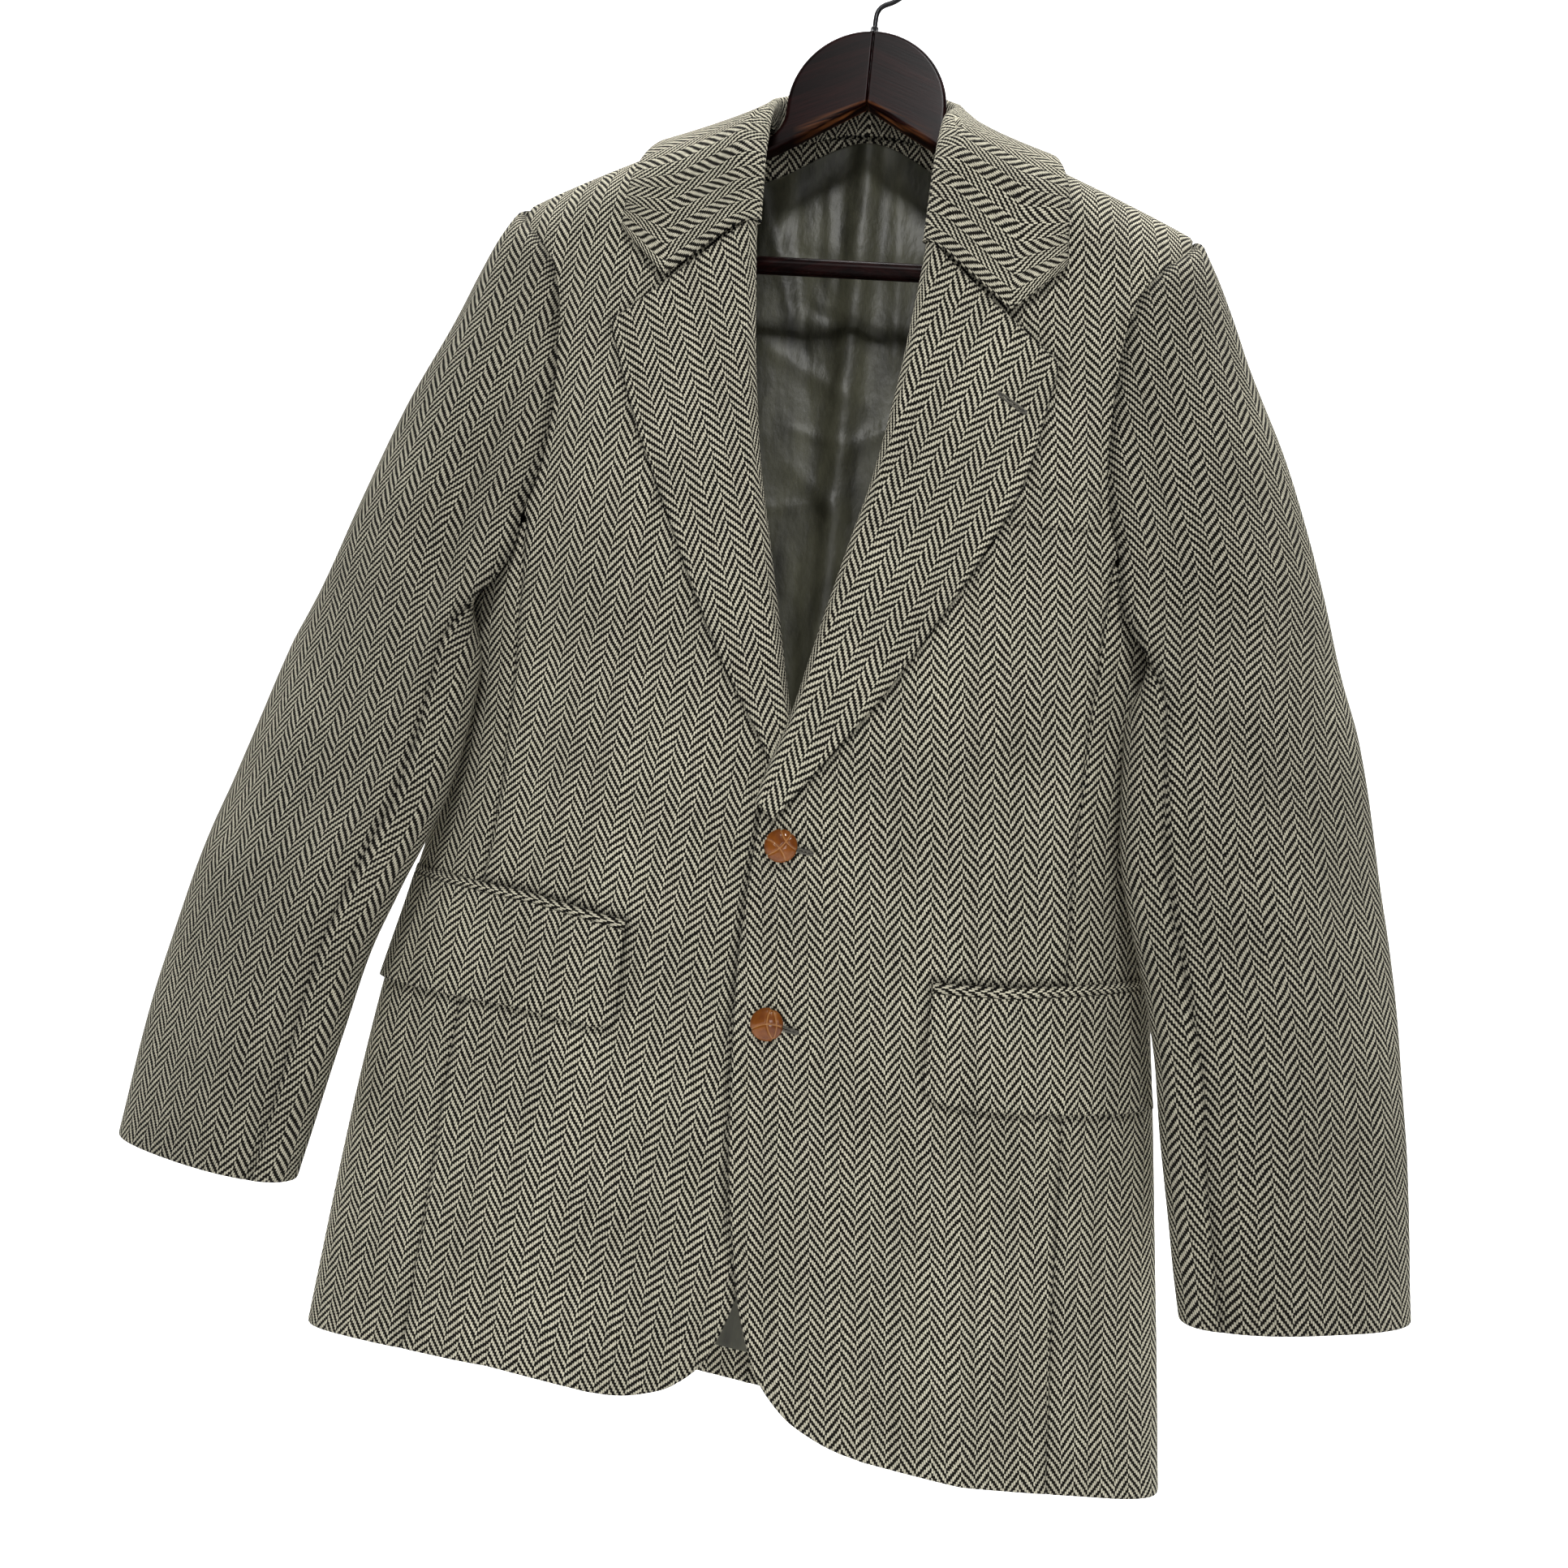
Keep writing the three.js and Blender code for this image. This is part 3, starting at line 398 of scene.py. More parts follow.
# %% Sewn shells
SPACING = 3.4
TURNED_INSETS = (0, 0.12, 0.5, 1.2, 2.3)
SEWN_INSETS = (0, 0.7, 1.7, 3.2)
TURNED_REACH = 2.2
SEWN_REACH = 3.0
SEWN_DIP = 1.1
EDGE_SHADE = 0.45
NUDGE = 1e-3
SIDES = {"left": 1, "right": -1}


def steps(length, spacing=SPACING, start=TURNED_INSETS, end=TURNED_INSETS):
    """Places from 0 to 1 along a length, closer together near its two ends."""
    low, high = np.array(start) / length, 1 - np.array(end)[::-1] / length
    count = max(2, round((high[0] - low[-1]) * length / spacing))
    return np.concatenate([low[:-1], np.linspace(low[-1], high[0], count + 1), high[1:]])


def distance_to(lines, points):
    """Each point's distance to the nearest of some lines, each given by its own points."""
    dense = []
    for line in lines:
        for a, b in zip(line[:-1], line[1:]):
            count = max(1, int(np.linalg.norm(b - a) / 0.5))
            dense.extend(a + (b - a) * (k / count) for k in range(count))
        dense.append(line[-1])
    tree = KDTree(len(dense))
    for i, place in enumerate(dense):
        tree.insert(place, i)
    tree.balance()
    flat = points.reshape(-1, 3)
    return np.array([tree.find(place)[2] for place in flat]).reshape(points.shape[:-1])


def shell_mesh(name, outer, inner, face):
    rows, columns = outer.shape[:2]
    count = rows * columns
    index = np.arange(count).reshape(rows, columns)
    a, b, c, d = index[:-1, :-1], index[:-1, 1:], index[1:, 1:], index[1:, :-1]
    front = np.stack([a, b, c, d], -1).reshape(-1, 4)
    behind = np.stack([a, d, c, b], -1).reshape(-1, 4) + count
    border = np.concatenate([index[0, :-1], index[:-1, -1], index[-1, :0:-1], index[:0:-1, 0]])
    following = np.roll(border, -1)
    rim = np.stack([border, border + count, following + count, following], -1)
    quads = np.concatenate([front, behind, rim])
    if face < 0:
        quads = quads[:, ::-1]
    places = np.concatenate([outer.reshape(-1, 3), inner.reshape(-1, 3)])
    mesh = bpy.data.meshes.new(name)
    mesh.vertices.add(len(places))
    mesh.vertices.foreach_set("co", (places * 0.001).astype(np.float32).ravel())
    mesh.loops.add(quads.size)
    mesh.loops.foreach_set("vertex_index", quads.astype(np.int32).ravel())
    mesh.polygons.add(len(quads))
    mesh.polygons.foreach_set("loop_start", np.arange(0, quads.size, 4, dtype=np.int32))
    mesh.polygons.foreach_set("use_smooth", np.ones(len(quads), bool))
    mesh.update(calc_edges=True)
    mesh.validate()
    return mesh


def write_on_points(mesh, name, values, kind="FLOAT"):
    """Keeps a number, or a vector, for each point, where a finish can read it."""
    layer = mesh.attributes.new(name, kind, "POINT")
    layer.data.foreach_set("value" if kind == "FLOAT" else "vector", values.astype(np.float32).ravel())


def roundness_of(inward, turned_in):
    """1 where an edge is rolled or pulled in the most, and 0 on flat cloth."""
    return clamp(inward / SEWN_DIP * 0.8 + turned_in / 0.5)


def place(name, mesh, material, slot, replaced):
    made = bpy.data.objects.new(name, mesh)
    bpy.context.scene.collection.objects.link(made)
    mesh.materials.append(material)
    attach(made, "root")
    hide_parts(*replaced)


def border_lines(grid, names):
    """Edges by name, or by name with the first and last share of their points."""
    lines = {"low_u": grid[:, 0], "high_u": grid[:, -1], "low_v": grid[0], "high_v": grid[-1]}
    chosen = []
    for name in names:
        edge, start, end = (name, 0, 1) if isinstance(name, str) else name
        line = lines[edge]
        chosen.append(line[int(start * (len(line) - 1)):int(end * (len(line) - 1)) + 1])
    return chosen


def cloth(name, surface, us, vs, grain, **wants):
    """A closed shell of cloth on one side of the jacket. surface(u, v) is its outside on the +X side."""
    side, face = wants.get("side", 1), wants.get("face", 1)
    thickness, share = wants.get("thickness", CLOTH), wants.get("share", 1)
    u, v = np.meshgrid(us, vs)
    cut = surface(u, v)
    across = surface(u + NUDGE, v) - surface(u - NUDGE, v)
    up = surface(u, v + NUDGE) - surface(u, v - NUDGE)
    normals = unit(np.cross(across, up)) * face
    mirror = np.array([side, 1, 1])
    outer, normals = cut * mirror, normals * mirror
    raised = wants.get("rise", body_rise)(outer, normals)
    inward = np.zeros(u.shape)
    if wants.get("sewn"):
        away = distance_to(border_lines(outer, wants["sewn"]), outer)
        dip = wants.get("dip", SEWN_DIP)
        deep = dip(outer) if callable(dip) else dip
        inward += deep * (1 - ease(away / wants.get("dip_reach", SEWN_REACH)))
    turned_in = np.zeros(u.shape)
    if wants.get("turned"):
        away = distance_to(border_lines(outer, wants["turned"]), outer)
        roundness = 1 - np.minimum(1, away / TURNED_REACH)
        turned_in = (thickness / 2 - 0.04) * (1 - np.sqrt(1 - roundness**2))
    # Painted shade: the colour is darkened along rolled and sewn edges and by the piece's tone, which is
    # below 1 only on the sleeves; painted shadows also fall along the edges listed in shaded_by.
    shade = wants.get("tone", 1) * (1 - EDGE_SHADE * roundness_of(inward, turned_in))
    for lines, reach, depth in wants.get("shaded_by", []):
        away = distance_to([line * mirror for line in lines], outer)
        shade = shade * (1 - depth * (1 - ease(away / reach)))
    outside = outer + normals * (raised - inward - turned_in)[..., None]
    inside = outer + normals * (raised - thickness + turned_in - inward * 0.3)[..., None]
    u_grain, v_grain = grain(u, v, cut)
    written = point(u_grain * 0.001, v_grain * 0.001, float(side)).reshape(-1, 3)
    drop = np.array([0, 0, HANGER_TOP])
    mesh = shell_mesh(name, hang(outside, share) + drop, hang(inside, share) + drop, face * side)
    write_on_points(mesh, "grain", np.concatenate([written, written]), "FLOAT_VECTOR")
    write_on_points(mesh, "shade", np.concatenate([shade.ravel(), shade.ravel()]))
    place(name, mesh, wants["material"], wants["slot"], wants["replaces"])
    print(f"{name}: {len(mesh.polygons) * 2} triangles")


print("a 100 mm edge is cut in", len(steps(100)), "places")

# %% [markdown]
# ## Finishes
#
# A finish is a small recipe of nodes. `Finish` keeps the calls short: each one adds a node and hands back its
# result. Values that are the same all over go straight onto the shader.

# %% Recipe for a finish
class Finish:
    """A material that is built up one node at a time."""

    def __init__(self, name, **shader):
        self.material = bpy.data.materials.new(name)
        self.material.use_nodes = True
        self.tree = self.material.node_tree
        self.shader = self.tree.nodes["Principled BSDF"]
        for key, value in shader.items():
            self.shader.inputs[key.replace("_", " ")].default_value = value

    def add(self, kind, *inputs, **settings):
        node = self.tree.nodes.new(kind)
        for key, value in settings.items():
            setattr(node, key, value)
        for socket, value in zip(node.inputs, inputs):
            self.put(value, socket)
        return node

    def put(self, value, socket):
        if isinstance(value, bpy.types.NodeSocket):
            self.tree.links.new(value, socket)
        elif value is not None:
            socket.default_value = value

    def math(self, operation, a, b=0.0, c=0.0):
        return self.add("ShaderNodeMath", a, b, c, operation=operation).outputs[0]

    def noise(self, places, scale, detail=2.0):
        node = self.add("ShaderNodeTexNoise", places)
        node.inputs["Scale"].default_value = scale
        node.inputs["Detail"].default_value = detail
        return node.outputs["Fac"]

    def span(self, value, low, high, to_low=0.0, to_high=1.0):
        return self.add("ShaderNodeMapRange", value, low, high, to_low, to_high).outputs[0]

    def mix(self, share, a, b, kind="Color"):
        """Part a and part b: two colours, or two numbers where kind is Float."""
        node = self.add("ShaderNodeMix", data_type="RGBA" if kind == "Color" else "FLOAT")
        for name, value in (("Factor_Float", share), (f"A_{kind}", a), (f"B_{kind}", b)):
            self.put(value, next(s for s in node.inputs if s.identifier == name))
        return next(s for s in node.outputs if s.identifier == f"Result_{kind}")

    def clamped(self, value):
        return self.math("MINIMUM", self.math("MAXIMUM", value, 0.0), 1.0)

    def written(self, name, output="Fac"):
        """What was written on the mesh's points under this name."""
        return self.add("ShaderNodeAttribute", attribute_name=name).outputs[output]

    def shade(self, colour, brightness):
        node = self.add("ShaderNodeVectorMath", colour, operation="SCALE")
        self.put(brightness, node.inputs["Scale"])
        return node.outputs[0]

    def places(self):
        return self.add("ShaderNodeTexCoord").outputs["Object"]

    def stretched(self, places, x, y, z):
        return self.add("ShaderNodeVectorMath", places, (x, y, z), operation="MULTIPLY").outputs[0]

    def relief(self, height, distance, strength=1.0):
        node = self.add("ShaderNodeBump")
        node.inputs["Strength"].default_value = strength
        node.inputs["Distance"].default_value = distance
        self.put(height, node.inputs["Height"])
        self.put(node.outputs[0], self.shader.inputs["Normal"])

    def colour(self, value):
        self.put(value, self.shader.inputs["Base Color"])


print("finishes are made by", Finish.__name__)

# %% [markdown]
# ## Herringbone tweed
#
# The cloth is a twill: each cream lengthwise yarn goes over two dark crosswise yarns and under two, one step
# along from its neighbour. That makes slanting lines. After every eight yarns the step turns round, with a
# small break, and the slants make the fishbone. The nodes count yarns with `floor` and `modulo` on the grain
# coordinates, so the weave is drawn yarn by yarn at its real size: no picture is needed.
#
# Wool is never even. A wide noise and a fine one shift the yarns a little, each yarn has its own shade, and
# stray fibres blur the edges between cream and dark.

# %% Tweed
END_PITCH = 1.11
PICK_PITCH = 1.35
ENDS_TO_TURN = 8
YARN_HEIGHT = 0.0005
YARN_DRIFTS = ((45, 0.003), (1300, 0.0011))
CREAM = (0.72, 0.68, 0.53, 1)
CREAM_GREY = (0.27, 0.254, 0.198, 1)
DARK = (0.0045, 0.0040, 0.0033, 1)
DARK_BROWN = (0.0125, 0.0112, 0.0085, 1)


def herringbone(finish):
    """Returns whether a cream end is on top, the yarn's height, and the numbers of the end and the pick."""
    grain = finish.written("grain", "Vector")
    places = grain
    for scale, reach in YARN_DRIFTS:
        cloud = finish.add("ShaderNodeTexNoise", grain)
        cloud.inputs["Scale"].default_value = scale
        middle = (0.5, 0.5, 0.5)
        centred = finish.add("ShaderNodeVectorMath", cloud.outputs["Color"], middle, operation="SUBTRACT")
        shift = finish.shade(centred.outputs[0], reach)
        places = finish.add("ShaderNodeVectorMath", places, shift, operation="ADD").outputs[0]
    split = finish.add("ShaderNodeSeparateXYZ", places)
    ends = finish.math("DIVIDE", split.outputs[0], END_PITCH * 0.001)
    picks = finish.math("DIVIDE", split.outputs[1], PICK_PITCH * 0.001)
    end, pick = finish.math("FLOOR", ends), finish.math("FLOOR", picks)
    across_end, across_pick = finish.math("FRACT", ends), finish.math("FRACT", picks)
    in_repeat = finish.math("FLOORED_MODULO", end, 2.0 * ENDS_TO_TURN)
    back = finish.math("GREATER_THAN", in_repeat, ENDS_TO_TURN - 0.5)
    turned_back = finish.math("MULTIPLY_ADD", in_repeat, -2.0, 2.0 * ENDS_TO_TURN + 1)
    step = finish.math("MULTIPLY_ADD", back, turned_back, in_repeat)
    place_in_twill = finish.math("FLOORED_MODULO", finish.math("ADD", pick, step), 4.0)
    cream_up = finish.math("LESS_THAN", place_in_twill, 1.5)
    along_end = finish.math("MULTIPLY", finish.math("ADD", place_in_twill, across_pick), 0.5)
    flipped = finish.math("SUBTRACT", 1.0, across_end)
    forward = finish.mix(back, across_end, flipped, "Float")
    past = finish.math("SUBTRACT", place_in_twill, 2.0)
    along_pick = finish.math("MULTIPLY", finish.math("ADD", past, forward), 0.5)

    def hump(share):
        """0 at both sides of a yarn and 1 in its middle."""
        doubled = finish.math("MULTIPLY_ADD", share, 2.0, -1.0)
        return finish.math("SUBTRACT", 1.0, finish.math("MULTIPLY", doubled, doubled))

    cream_height = finish.math("MULTIPLY", hump(across_end), finish.math("POWER", hump(along_end), 0.6))
    dark_height = finish.math("MULTIPLY", hump(across_pick), finish.math("POWER", hump(along_pick), 0.6))
    height = finish.mix(cream_up, dark_height, cream_height, "Float")
    return grain, cream_up, height, end, pick


def make_tweed():
    finish = Finish("herringbone_tweed", Roughness=0.95, Sheen_Weight=0.02, Sheen_Roughness=0.5,
                    Specular_IOR_Level=0.05)
    grain, cream_up, height, end, pick = herringbone(finish)
    shades = []
    for number, seed in ((end, 3.7), (pick, 9.1)):
        spun = finish.add("ShaderNodeTexWhiteNoise", noise_dimensions="2D")
        finish.put(finish.add("ShaderNodeCombineXYZ", number, seed).outputs[0], spun.inputs["Vector"])
        shades.append(spun.outputs["Value"])
    fibres = finish.noise(finish.stretched(grain, 1, 0.55, 1), 2600, 3)
    mottle = finish.noise(grain, 14, 3)
    end_shade = finish.math("MULTIPLY_ADD", shades[0], 0.3, -0.32)
    cream_share = finish.math("MULTIPLY_ADD", fibres, 0.9, end_shade)
    cream = finish.mix(finish.clamped(cream_share), CREAM, CREAM_GREY)
    pick_shade = finish.math("MULTIPLY_ADD", shades[1], 0.4, -0.25)
    dark_share = finish.math("MULTIPLY_ADD", fibres, 0.8, pick_shade)
    dark = finish.mix(finish.clamped(dark_share), DARK, DARK_BROWN)
    yarn = finish.mix(cream_up, dark, cream)
    stray = finish.span(finish.noise(grain, 3600, 1), 0.60, 0.72, 0.0, 0.22)
    hairy = finish.mix(stray, yarn, CREAM_GREY)
    # Painted shade: the colour falls to 0.35 of itself where a yarn dips between its neighbours.
    deep = finish.span(height, 0.0, 0.6, 0.35, 1.0)
    soft = finish.span(mottle, 0.3, 0.7, 0.88, 1.1)
    # The shade read from the points is painted shade and painted shadow along edges, and on the sleeves.
    brightness = finish.math("MULTIPLY", finish.math("MULTIPLY", deep, soft), finish.written("shade"))
    finish.colour(finish.shade(hairy, brightness))
    rough = finish.math("MULTIPLY_ADD", fibres, 0.5, height)
    finish.relief(rough, YARN_HEIGHT, 0.8)
    return finish.material


TWEED = make_tweed()


def tweed(piece, surface, us, vs, grain, **wants):
    """A cut piece of tweed, in place of the plain solid of its own name unless `replaces` names another."""
    wants = {"material": TWEED, "slot": "tweed", "replaces": [piece], **wants}
    cloth(f"tweed_{piece}", surface, us, vs, grain, **wants)


print("one repeat is", 2 * ENDS_TO_TURN * END_PITCH, "mm wide")

# %% [markdown]
# ## Satin lining
#
# The lining is a thin olive satin. Satin is shiny along its long floats, so it gets a low roughness and a
# little fine ribbing. Its colour has painted shade and sheen: it is drawn darker and lighter in long soft
# streaks, as small creases would shade it and catch the light.

# %% Satin
SATIN_PAINTED_LIT = (0.074, 0.073, 0.047, 1)
SATIN_PAINTED_SHADE = (0.014, 0.0138, 0.0082, 1)


def make_satin():
    finish = Finish("olive_satin", Roughness=0.44, Specular_IOR_Level=0.34)
    grain = finish.written("grain", "Vector")
    # Painted shade and sheen: long streaks along the grain, from the shaded olive to the lit one.
    painted_crease_shade = finish.noise(finish.stretched(grain, 1, 0.35, 1), 55, 4)
    tone = finish.mix(finish.span(painted_crease_shade, 0.3, 0.68), SATIN_PAINTED_SHADE, SATIN_PAINTED_LIT)
    ribs = finish.noise(finish.stretched(grain, 1, 0.04, 1), 5200, 1)
    finish.colour(finish.shade(tone, finish.span(ribs, 0.3, 0.7, 0.86, 1.08)))
    small_creases = finish.noise(finish.stretched(grain, 1, 0.5, 1), 90, 5)
    finish.relief(finish.math("MULTIPLY_ADD", ribs, 0.03, small_creases), 0.0016, 0.7)
    return finish.material


SATIN = make_satin()
print("satin ready")

# %% [markdown]
# ## The two fronts
#
# Each front is one piece from the hem to the shoulder. Its outer edge is sewn to the side body and, above
# that, to the sleeve. Its inner edge is turned, and curves away at the bottom. The left front lies over the
# right one, so it is lifted near the centre. Rows of points follow that curve by its length, so the round
# corner stays smooth where the edge runs almost level.

# %% Fronts
OVERLAP_RISE = CLOTH + 0.6
LAPEL_BREAK_RISE = 4.6
FRONT_LEAN = 5.8
CUTAWAY_TOP = -740
FRONT_SPAN = 180
UNDER_SLEEVE = 8
YOKE_LENGTH = 150
SHOULDER_TURN = 0.05


def seam_allowance(height):
    """Above the underarm the cloth runs on a little under the sleeve, where it is sewn."""
    return UNDER_SLEEVE * ease((height - UNDERARM) / 12) * (1 - ease((height + 150) / 22))


def overlap_rise(x, height):
    near_centre = 1 - ease((x - 24) / 50)
    near_break = ease((height + 560) / 50) * (1 - ease((height + 415) / 75))
    return near_centre * (OVERLAP_RISE + LAPEL_BREAK_RISE * near_break)


def panel_point(x, level, hem, face, top_turn):
    """level 0 to 1 runs from the hem to the fan height, 1 to 2 on to the shoulder seam or back neck."""
    rise = level - 1
    eased = lerp(FAN, shoulder_line(x) - SHOULDER_ROUND, rise / FAN_SHARE)
    low = turn_at(x, np.where(level <= 1, lerp(hem, FAN, level), eased))
    high = lerp(90, top_turn(x), (rise - FAN_SHARE) / (1 - FAN_SHARE))
    return yoke(x, face * np.where(rise < FAN_SHARE, low, high))


def meet(edge, row, like):
    """Finds where a row meets an edge that is given as x for each height."""
    x = np.zeros_like(like) + edge(FAN)
    for _ in range(12):
        x = lerp(x, edge(row(x)[..., 2]), 0.7)
    return x


def lean_grain(along, up, degrees):
    """Grain coordinates where the lengthwise yarns lean outwards on their way down."""
    angle = math.radians(degrees)
    return along * math.cos(angle) + up * math.sin(angle), up * math.cos(angle) - along * math.sin(angle)


ARC_SHARES = np.linspace(0, 1, 400)
ARC_HEIGHTS = 0.29 * (1 - ARC_SHARES**SQUARENESS) ** (1 / SQUARENESS)
ARC_LENGTHS = lengths_along(np.stack([ARC_SHARES, ARC_HEIGHTS], -1))


def cloth_width(x, height):
    """How wide the flat cloth is from the centre line to x; past the line it counts down."""
    half = read(BODY, "halfWidth", height)
    return np.sign(x) * half * np.interp(np.minimum(1, np.abs(x) / half), ARC_SHARES, ARC_LENGTHS)


def length_up(cut):
    """How long the flat cloth is up to each point, along its own column of points."""
    return cut[0, :, 2] + lengths_along(cut[..., 1:])


def front_grain(u, v, cut):
    up = np.where(v <= 1, cut[..., 2], length_up(cut))
    return lean_grain(cloth_width(cut[..., 0], cut[..., 2]), up, FRONT_LEAN)


def front_panel(u, level, over):
    def row(x):
        return panel_point(x, level, HEM_FRONT, -1, lambda x: np.zeros_like(x) + SHOULDER_TURN)

    inner = meet(lambda z: read(FRONT, "inner", z) + ROLL_GAP, row, u)
    outer = meet(lambda z: read(FRONT, "outer", z) + seam_allowance(z), row, u)
    made = row(lerp(inner, outer, u))
    if over:
        made[..., 1] -= overlap_rise(made[..., 0], made[..., 2])
    return made


def level_of(height, hem):
    return (height - hem) / (FAN - hem)


def rows_along_cutaway():
    heights = np.linspace(HEM_FRONT, CUTAWAY_TOP, 1200)
    edge = read(FRONT, "inner", heights)
    length = lengths_along(np.stack([edge, heights], -1))
    wanted = np.arange(0, length[-1], SPACING * 0.7)
    return np.interp(wanted, length, heights)


above_cutaway = np.arange(CUTAWAY_TOP, FAN, SPACING)
front_levels = level_of(np.concatenate([rows_along_cutaway(), above_cutaway]), HEM_FRONT)
yoke_levels = 1 + steps(YOKE_LENGTH, start=(0,), end=SEWN_INSETS)
front_rows = np.concatenate([front_levels, yoke_levels])
print("a front is cut in", len(front_rows), "rows")

# %% [markdown]
# ## The backs
#
# The back is two pieces with a plain seam down the middle. At the top each one ends in the neckline and the
# shoulder seam. The grain runs straight down along the centre seam.

# %% Backs
BACK_SPAN = 185
HEM_TO_FAN = 658


def neckline(x):
    return NECK_BACK_HEIGHT - (NECK_BACK_HEIGHT - NECK_SIDE_HEIGHT) * (np.abs(x) / NECK_SIDE) ** 2.2


def back_top(x):
    at_neck = np.maximum(SHOULDER_TURN, turn_at(x, neckline(x)))
    return np.where(np.abs(x) < NECK_SIDE, at_neck, SHOULDER_TURN)


def back_panel(u, level):
    def row(x):
        return panel_point(x, level, HEM_BACK, 1, back_top)

    outer = meet(lambda z: read(BACK, "outer", z) + seam_allowance(z), row, u)
    return row(outer * u)


def back_grain(u, v, cut):
    return cloth_width(cut[..., 0], cut[..., 2]), np.where(v <= 1, cut[..., 2], length_up(cut))


back_levels = level_of(HEM_BACK + steps(HEM_TO_FAN, end=(0,)) * (FAN - HEM_BACK), HEM_BACK)[:-1]
for label, side in SIDES.items():
    tweed(f"back_{label}", back_panel, steps(BACK_SPAN, start=SEWN_INSETS, end=SEWN_INSETS),
          np.concatenate([back_levels, yoke_levels]), back_grain, side=side, face=-1,
          turned=["low_v"], sewn=["low_u", "high_u", "high_v"])

# %% [markdown]
# ## The side bodies
#
# A side body goes under each arm, between the front and the back. Its top edge dips where the sleeve's
# underarm is sewn in.

# %% Side bodies
UNDERARM_DIP = 14
SIDE_SPAN = 110
SIDE_LENGTH = 505


def side_top(u):
    return UNDERARM - UNDERARM_DIP * np.sin(np.pi * clamp(u))


def side_angles(height, gap):
    first = angle_at(read(FRONT, "outer", height) + gap, height)
    return first, 180 - angle_at(read(BACK, "outer", height) + gap, height)


def side_panel(u, v):
    height = lerp(lerp(HEM_FRONT, HEM_BACK, u), side_top(u), v)
    first, last = side_angles(height, 0)
    return around(lerp(first, last, u), height)


def across_grain(u, v, cut):
    """Width measured along each row from its middle, length measured down the cloth."""
    width = lengths_along(cut[..., :2], 1)
    middle = width[:, cut.shape[1] // 2][:, None]
    return width - middle, cut[..., 2]


for label, side in SIDES.items():
    tweed(f"side_body_{label}", side_panel, steps(SIDE_SPAN, start=SEWN_INSETS, end=SEWN_INSETS),
          steps(SIDE_LENGTH, end=SEWN_INSETS), across_grain, side=side,
          turned=["low_v"], sewn=["low_u", "high_u", "high_v"])

# %% [markdown]
# ## Sleeves
#
# Each sleeve is two pieces. The upper sleeve is set into the armhole, so its top is a cap that starts along
# the armhole's edge, stands a little proud of the shoulder and dips into the seam. The under sleeve closes
# the tube from the underarm down. An empty sleeve hangs as a flattened tube, slightly forward of the body.

# %% Sleeves
LAP = CLOTH + 0.5
UPPER_LAP = 2 * CLOTH + 1.6
UNDER_LAP = 1
HUNG_GAP = 4
CUFF_OUTER = -739
CUFF_INNER = -745
CAP_TOP = -124.6
SLEEVE_SQUARENESS = 2.3
FOREARM_SEAM = 0.105
HIND_SEAM = 0.7
SLEEVE_SETTLE = 85
SLEEVE_SHARE = 0.4
# Painted shade: the sleeves are the same tweed as the body, drawn at 0.8 of its brightness as they hang in
# more shade.
SLEEVE_PAINTED_SHADE = 0.8
SLEEVE_LEAN = 14
SLEEVE_ALLOWANCE = 0.011
ROPE_REACH = 6.5
TUCKED = 2.5
TUCK_REACH = 6
UPPER_WIDTH = 215
CAP_LENGTH = 215
UPPER_LENGTH = 405
UNDER_WIDTH = 125
UNDER_LENGTH = 400
SLEEVE = table("height innerX innerY outerX outerY half", [
    [-760, 259, -73, 387, -26, 27],
    [-743, 255, -74, 385, -25, 27],
    [-652, 236, -77, 375, -21, 29],
    [-612, 229, -78, 368, -19, 30],
    [-571, 217, -78, 361, -17, 30],
    [-540, 206, -77, 355, -15, 30],
    [-500, 195, -75, 346, -12, 29],
    [-455, 190.5, -71, 335, -10, 28],
    [-400, 187, -67, 319, -8, 28],
    [UNDERARM, 171, -60, 300, -6, 32],
    [-265, 171, -60, 274, -5, 32],
    [-205, 171, -60, 246, -3, 32],
    [-183, 171, -60, 237, -2, 32],
    [-160, 171, -60, 227, -1, 32],
    [-140, 171, -60, 217.5, 0, 32],
    [-128, 171, -60, 212, 0, 32],
    [-124, 171, -60, 208.9, 0, 32],
])


def superpower(value):
    return np.sign(value) * np.abs(value) ** (2 / SLEEVE_SQUARENESS)


def sleeve_ring(ring, height):
    """ring 0 is the inner edge, 0.25 the middle of the front wall, 0.5 the outer edge, 0.75 the back."""
    inner_x, inner_y = read(SLEEVE, "innerX", height), read(SLEEVE, "innerY", height)
    outer_x, outer_y = read(SLEEVE, "outerX", height), read(SLEEVE, "outerY", height)
    middle_x, middle_y = (inner_x + outer_x) / 2, (inner_y + outer_y) / 2
    reach_x, reach_y = outer_x - middle_x, outer_y - middle_y
    size = np.hypot(reach_x, reach_y)
    half = read(SLEEVE, "half", height)
    along = -superpower(np.cos(2 * np.pi * ring))
    ahead = superpower(np.sin(2 * np.pi * ring)) * half / size
    x = middle_x + reach_x * along + reach_y * ahead
    y = middle_y + reach_y * along - reach_x * ahead
    return point(x, y, height)


def moved_out(place, ahead, up, distance):
    return place + unit(np.cross(ahead - place, up - place)) * np.asarray(distance)[..., None]


def armhole(face, height):
    spot = on_front if face < 0 else on_back
    x = read(FRONT if face < 0 else BACK, "outer", height)
    lap = lerp(UPPER_LAP, LAP, ease((height - UNDERARM) / 50))
    return moved_out(spot(x, height), spot(x - face * NUDGE, height), spot(x, height + NUDGE), lap)


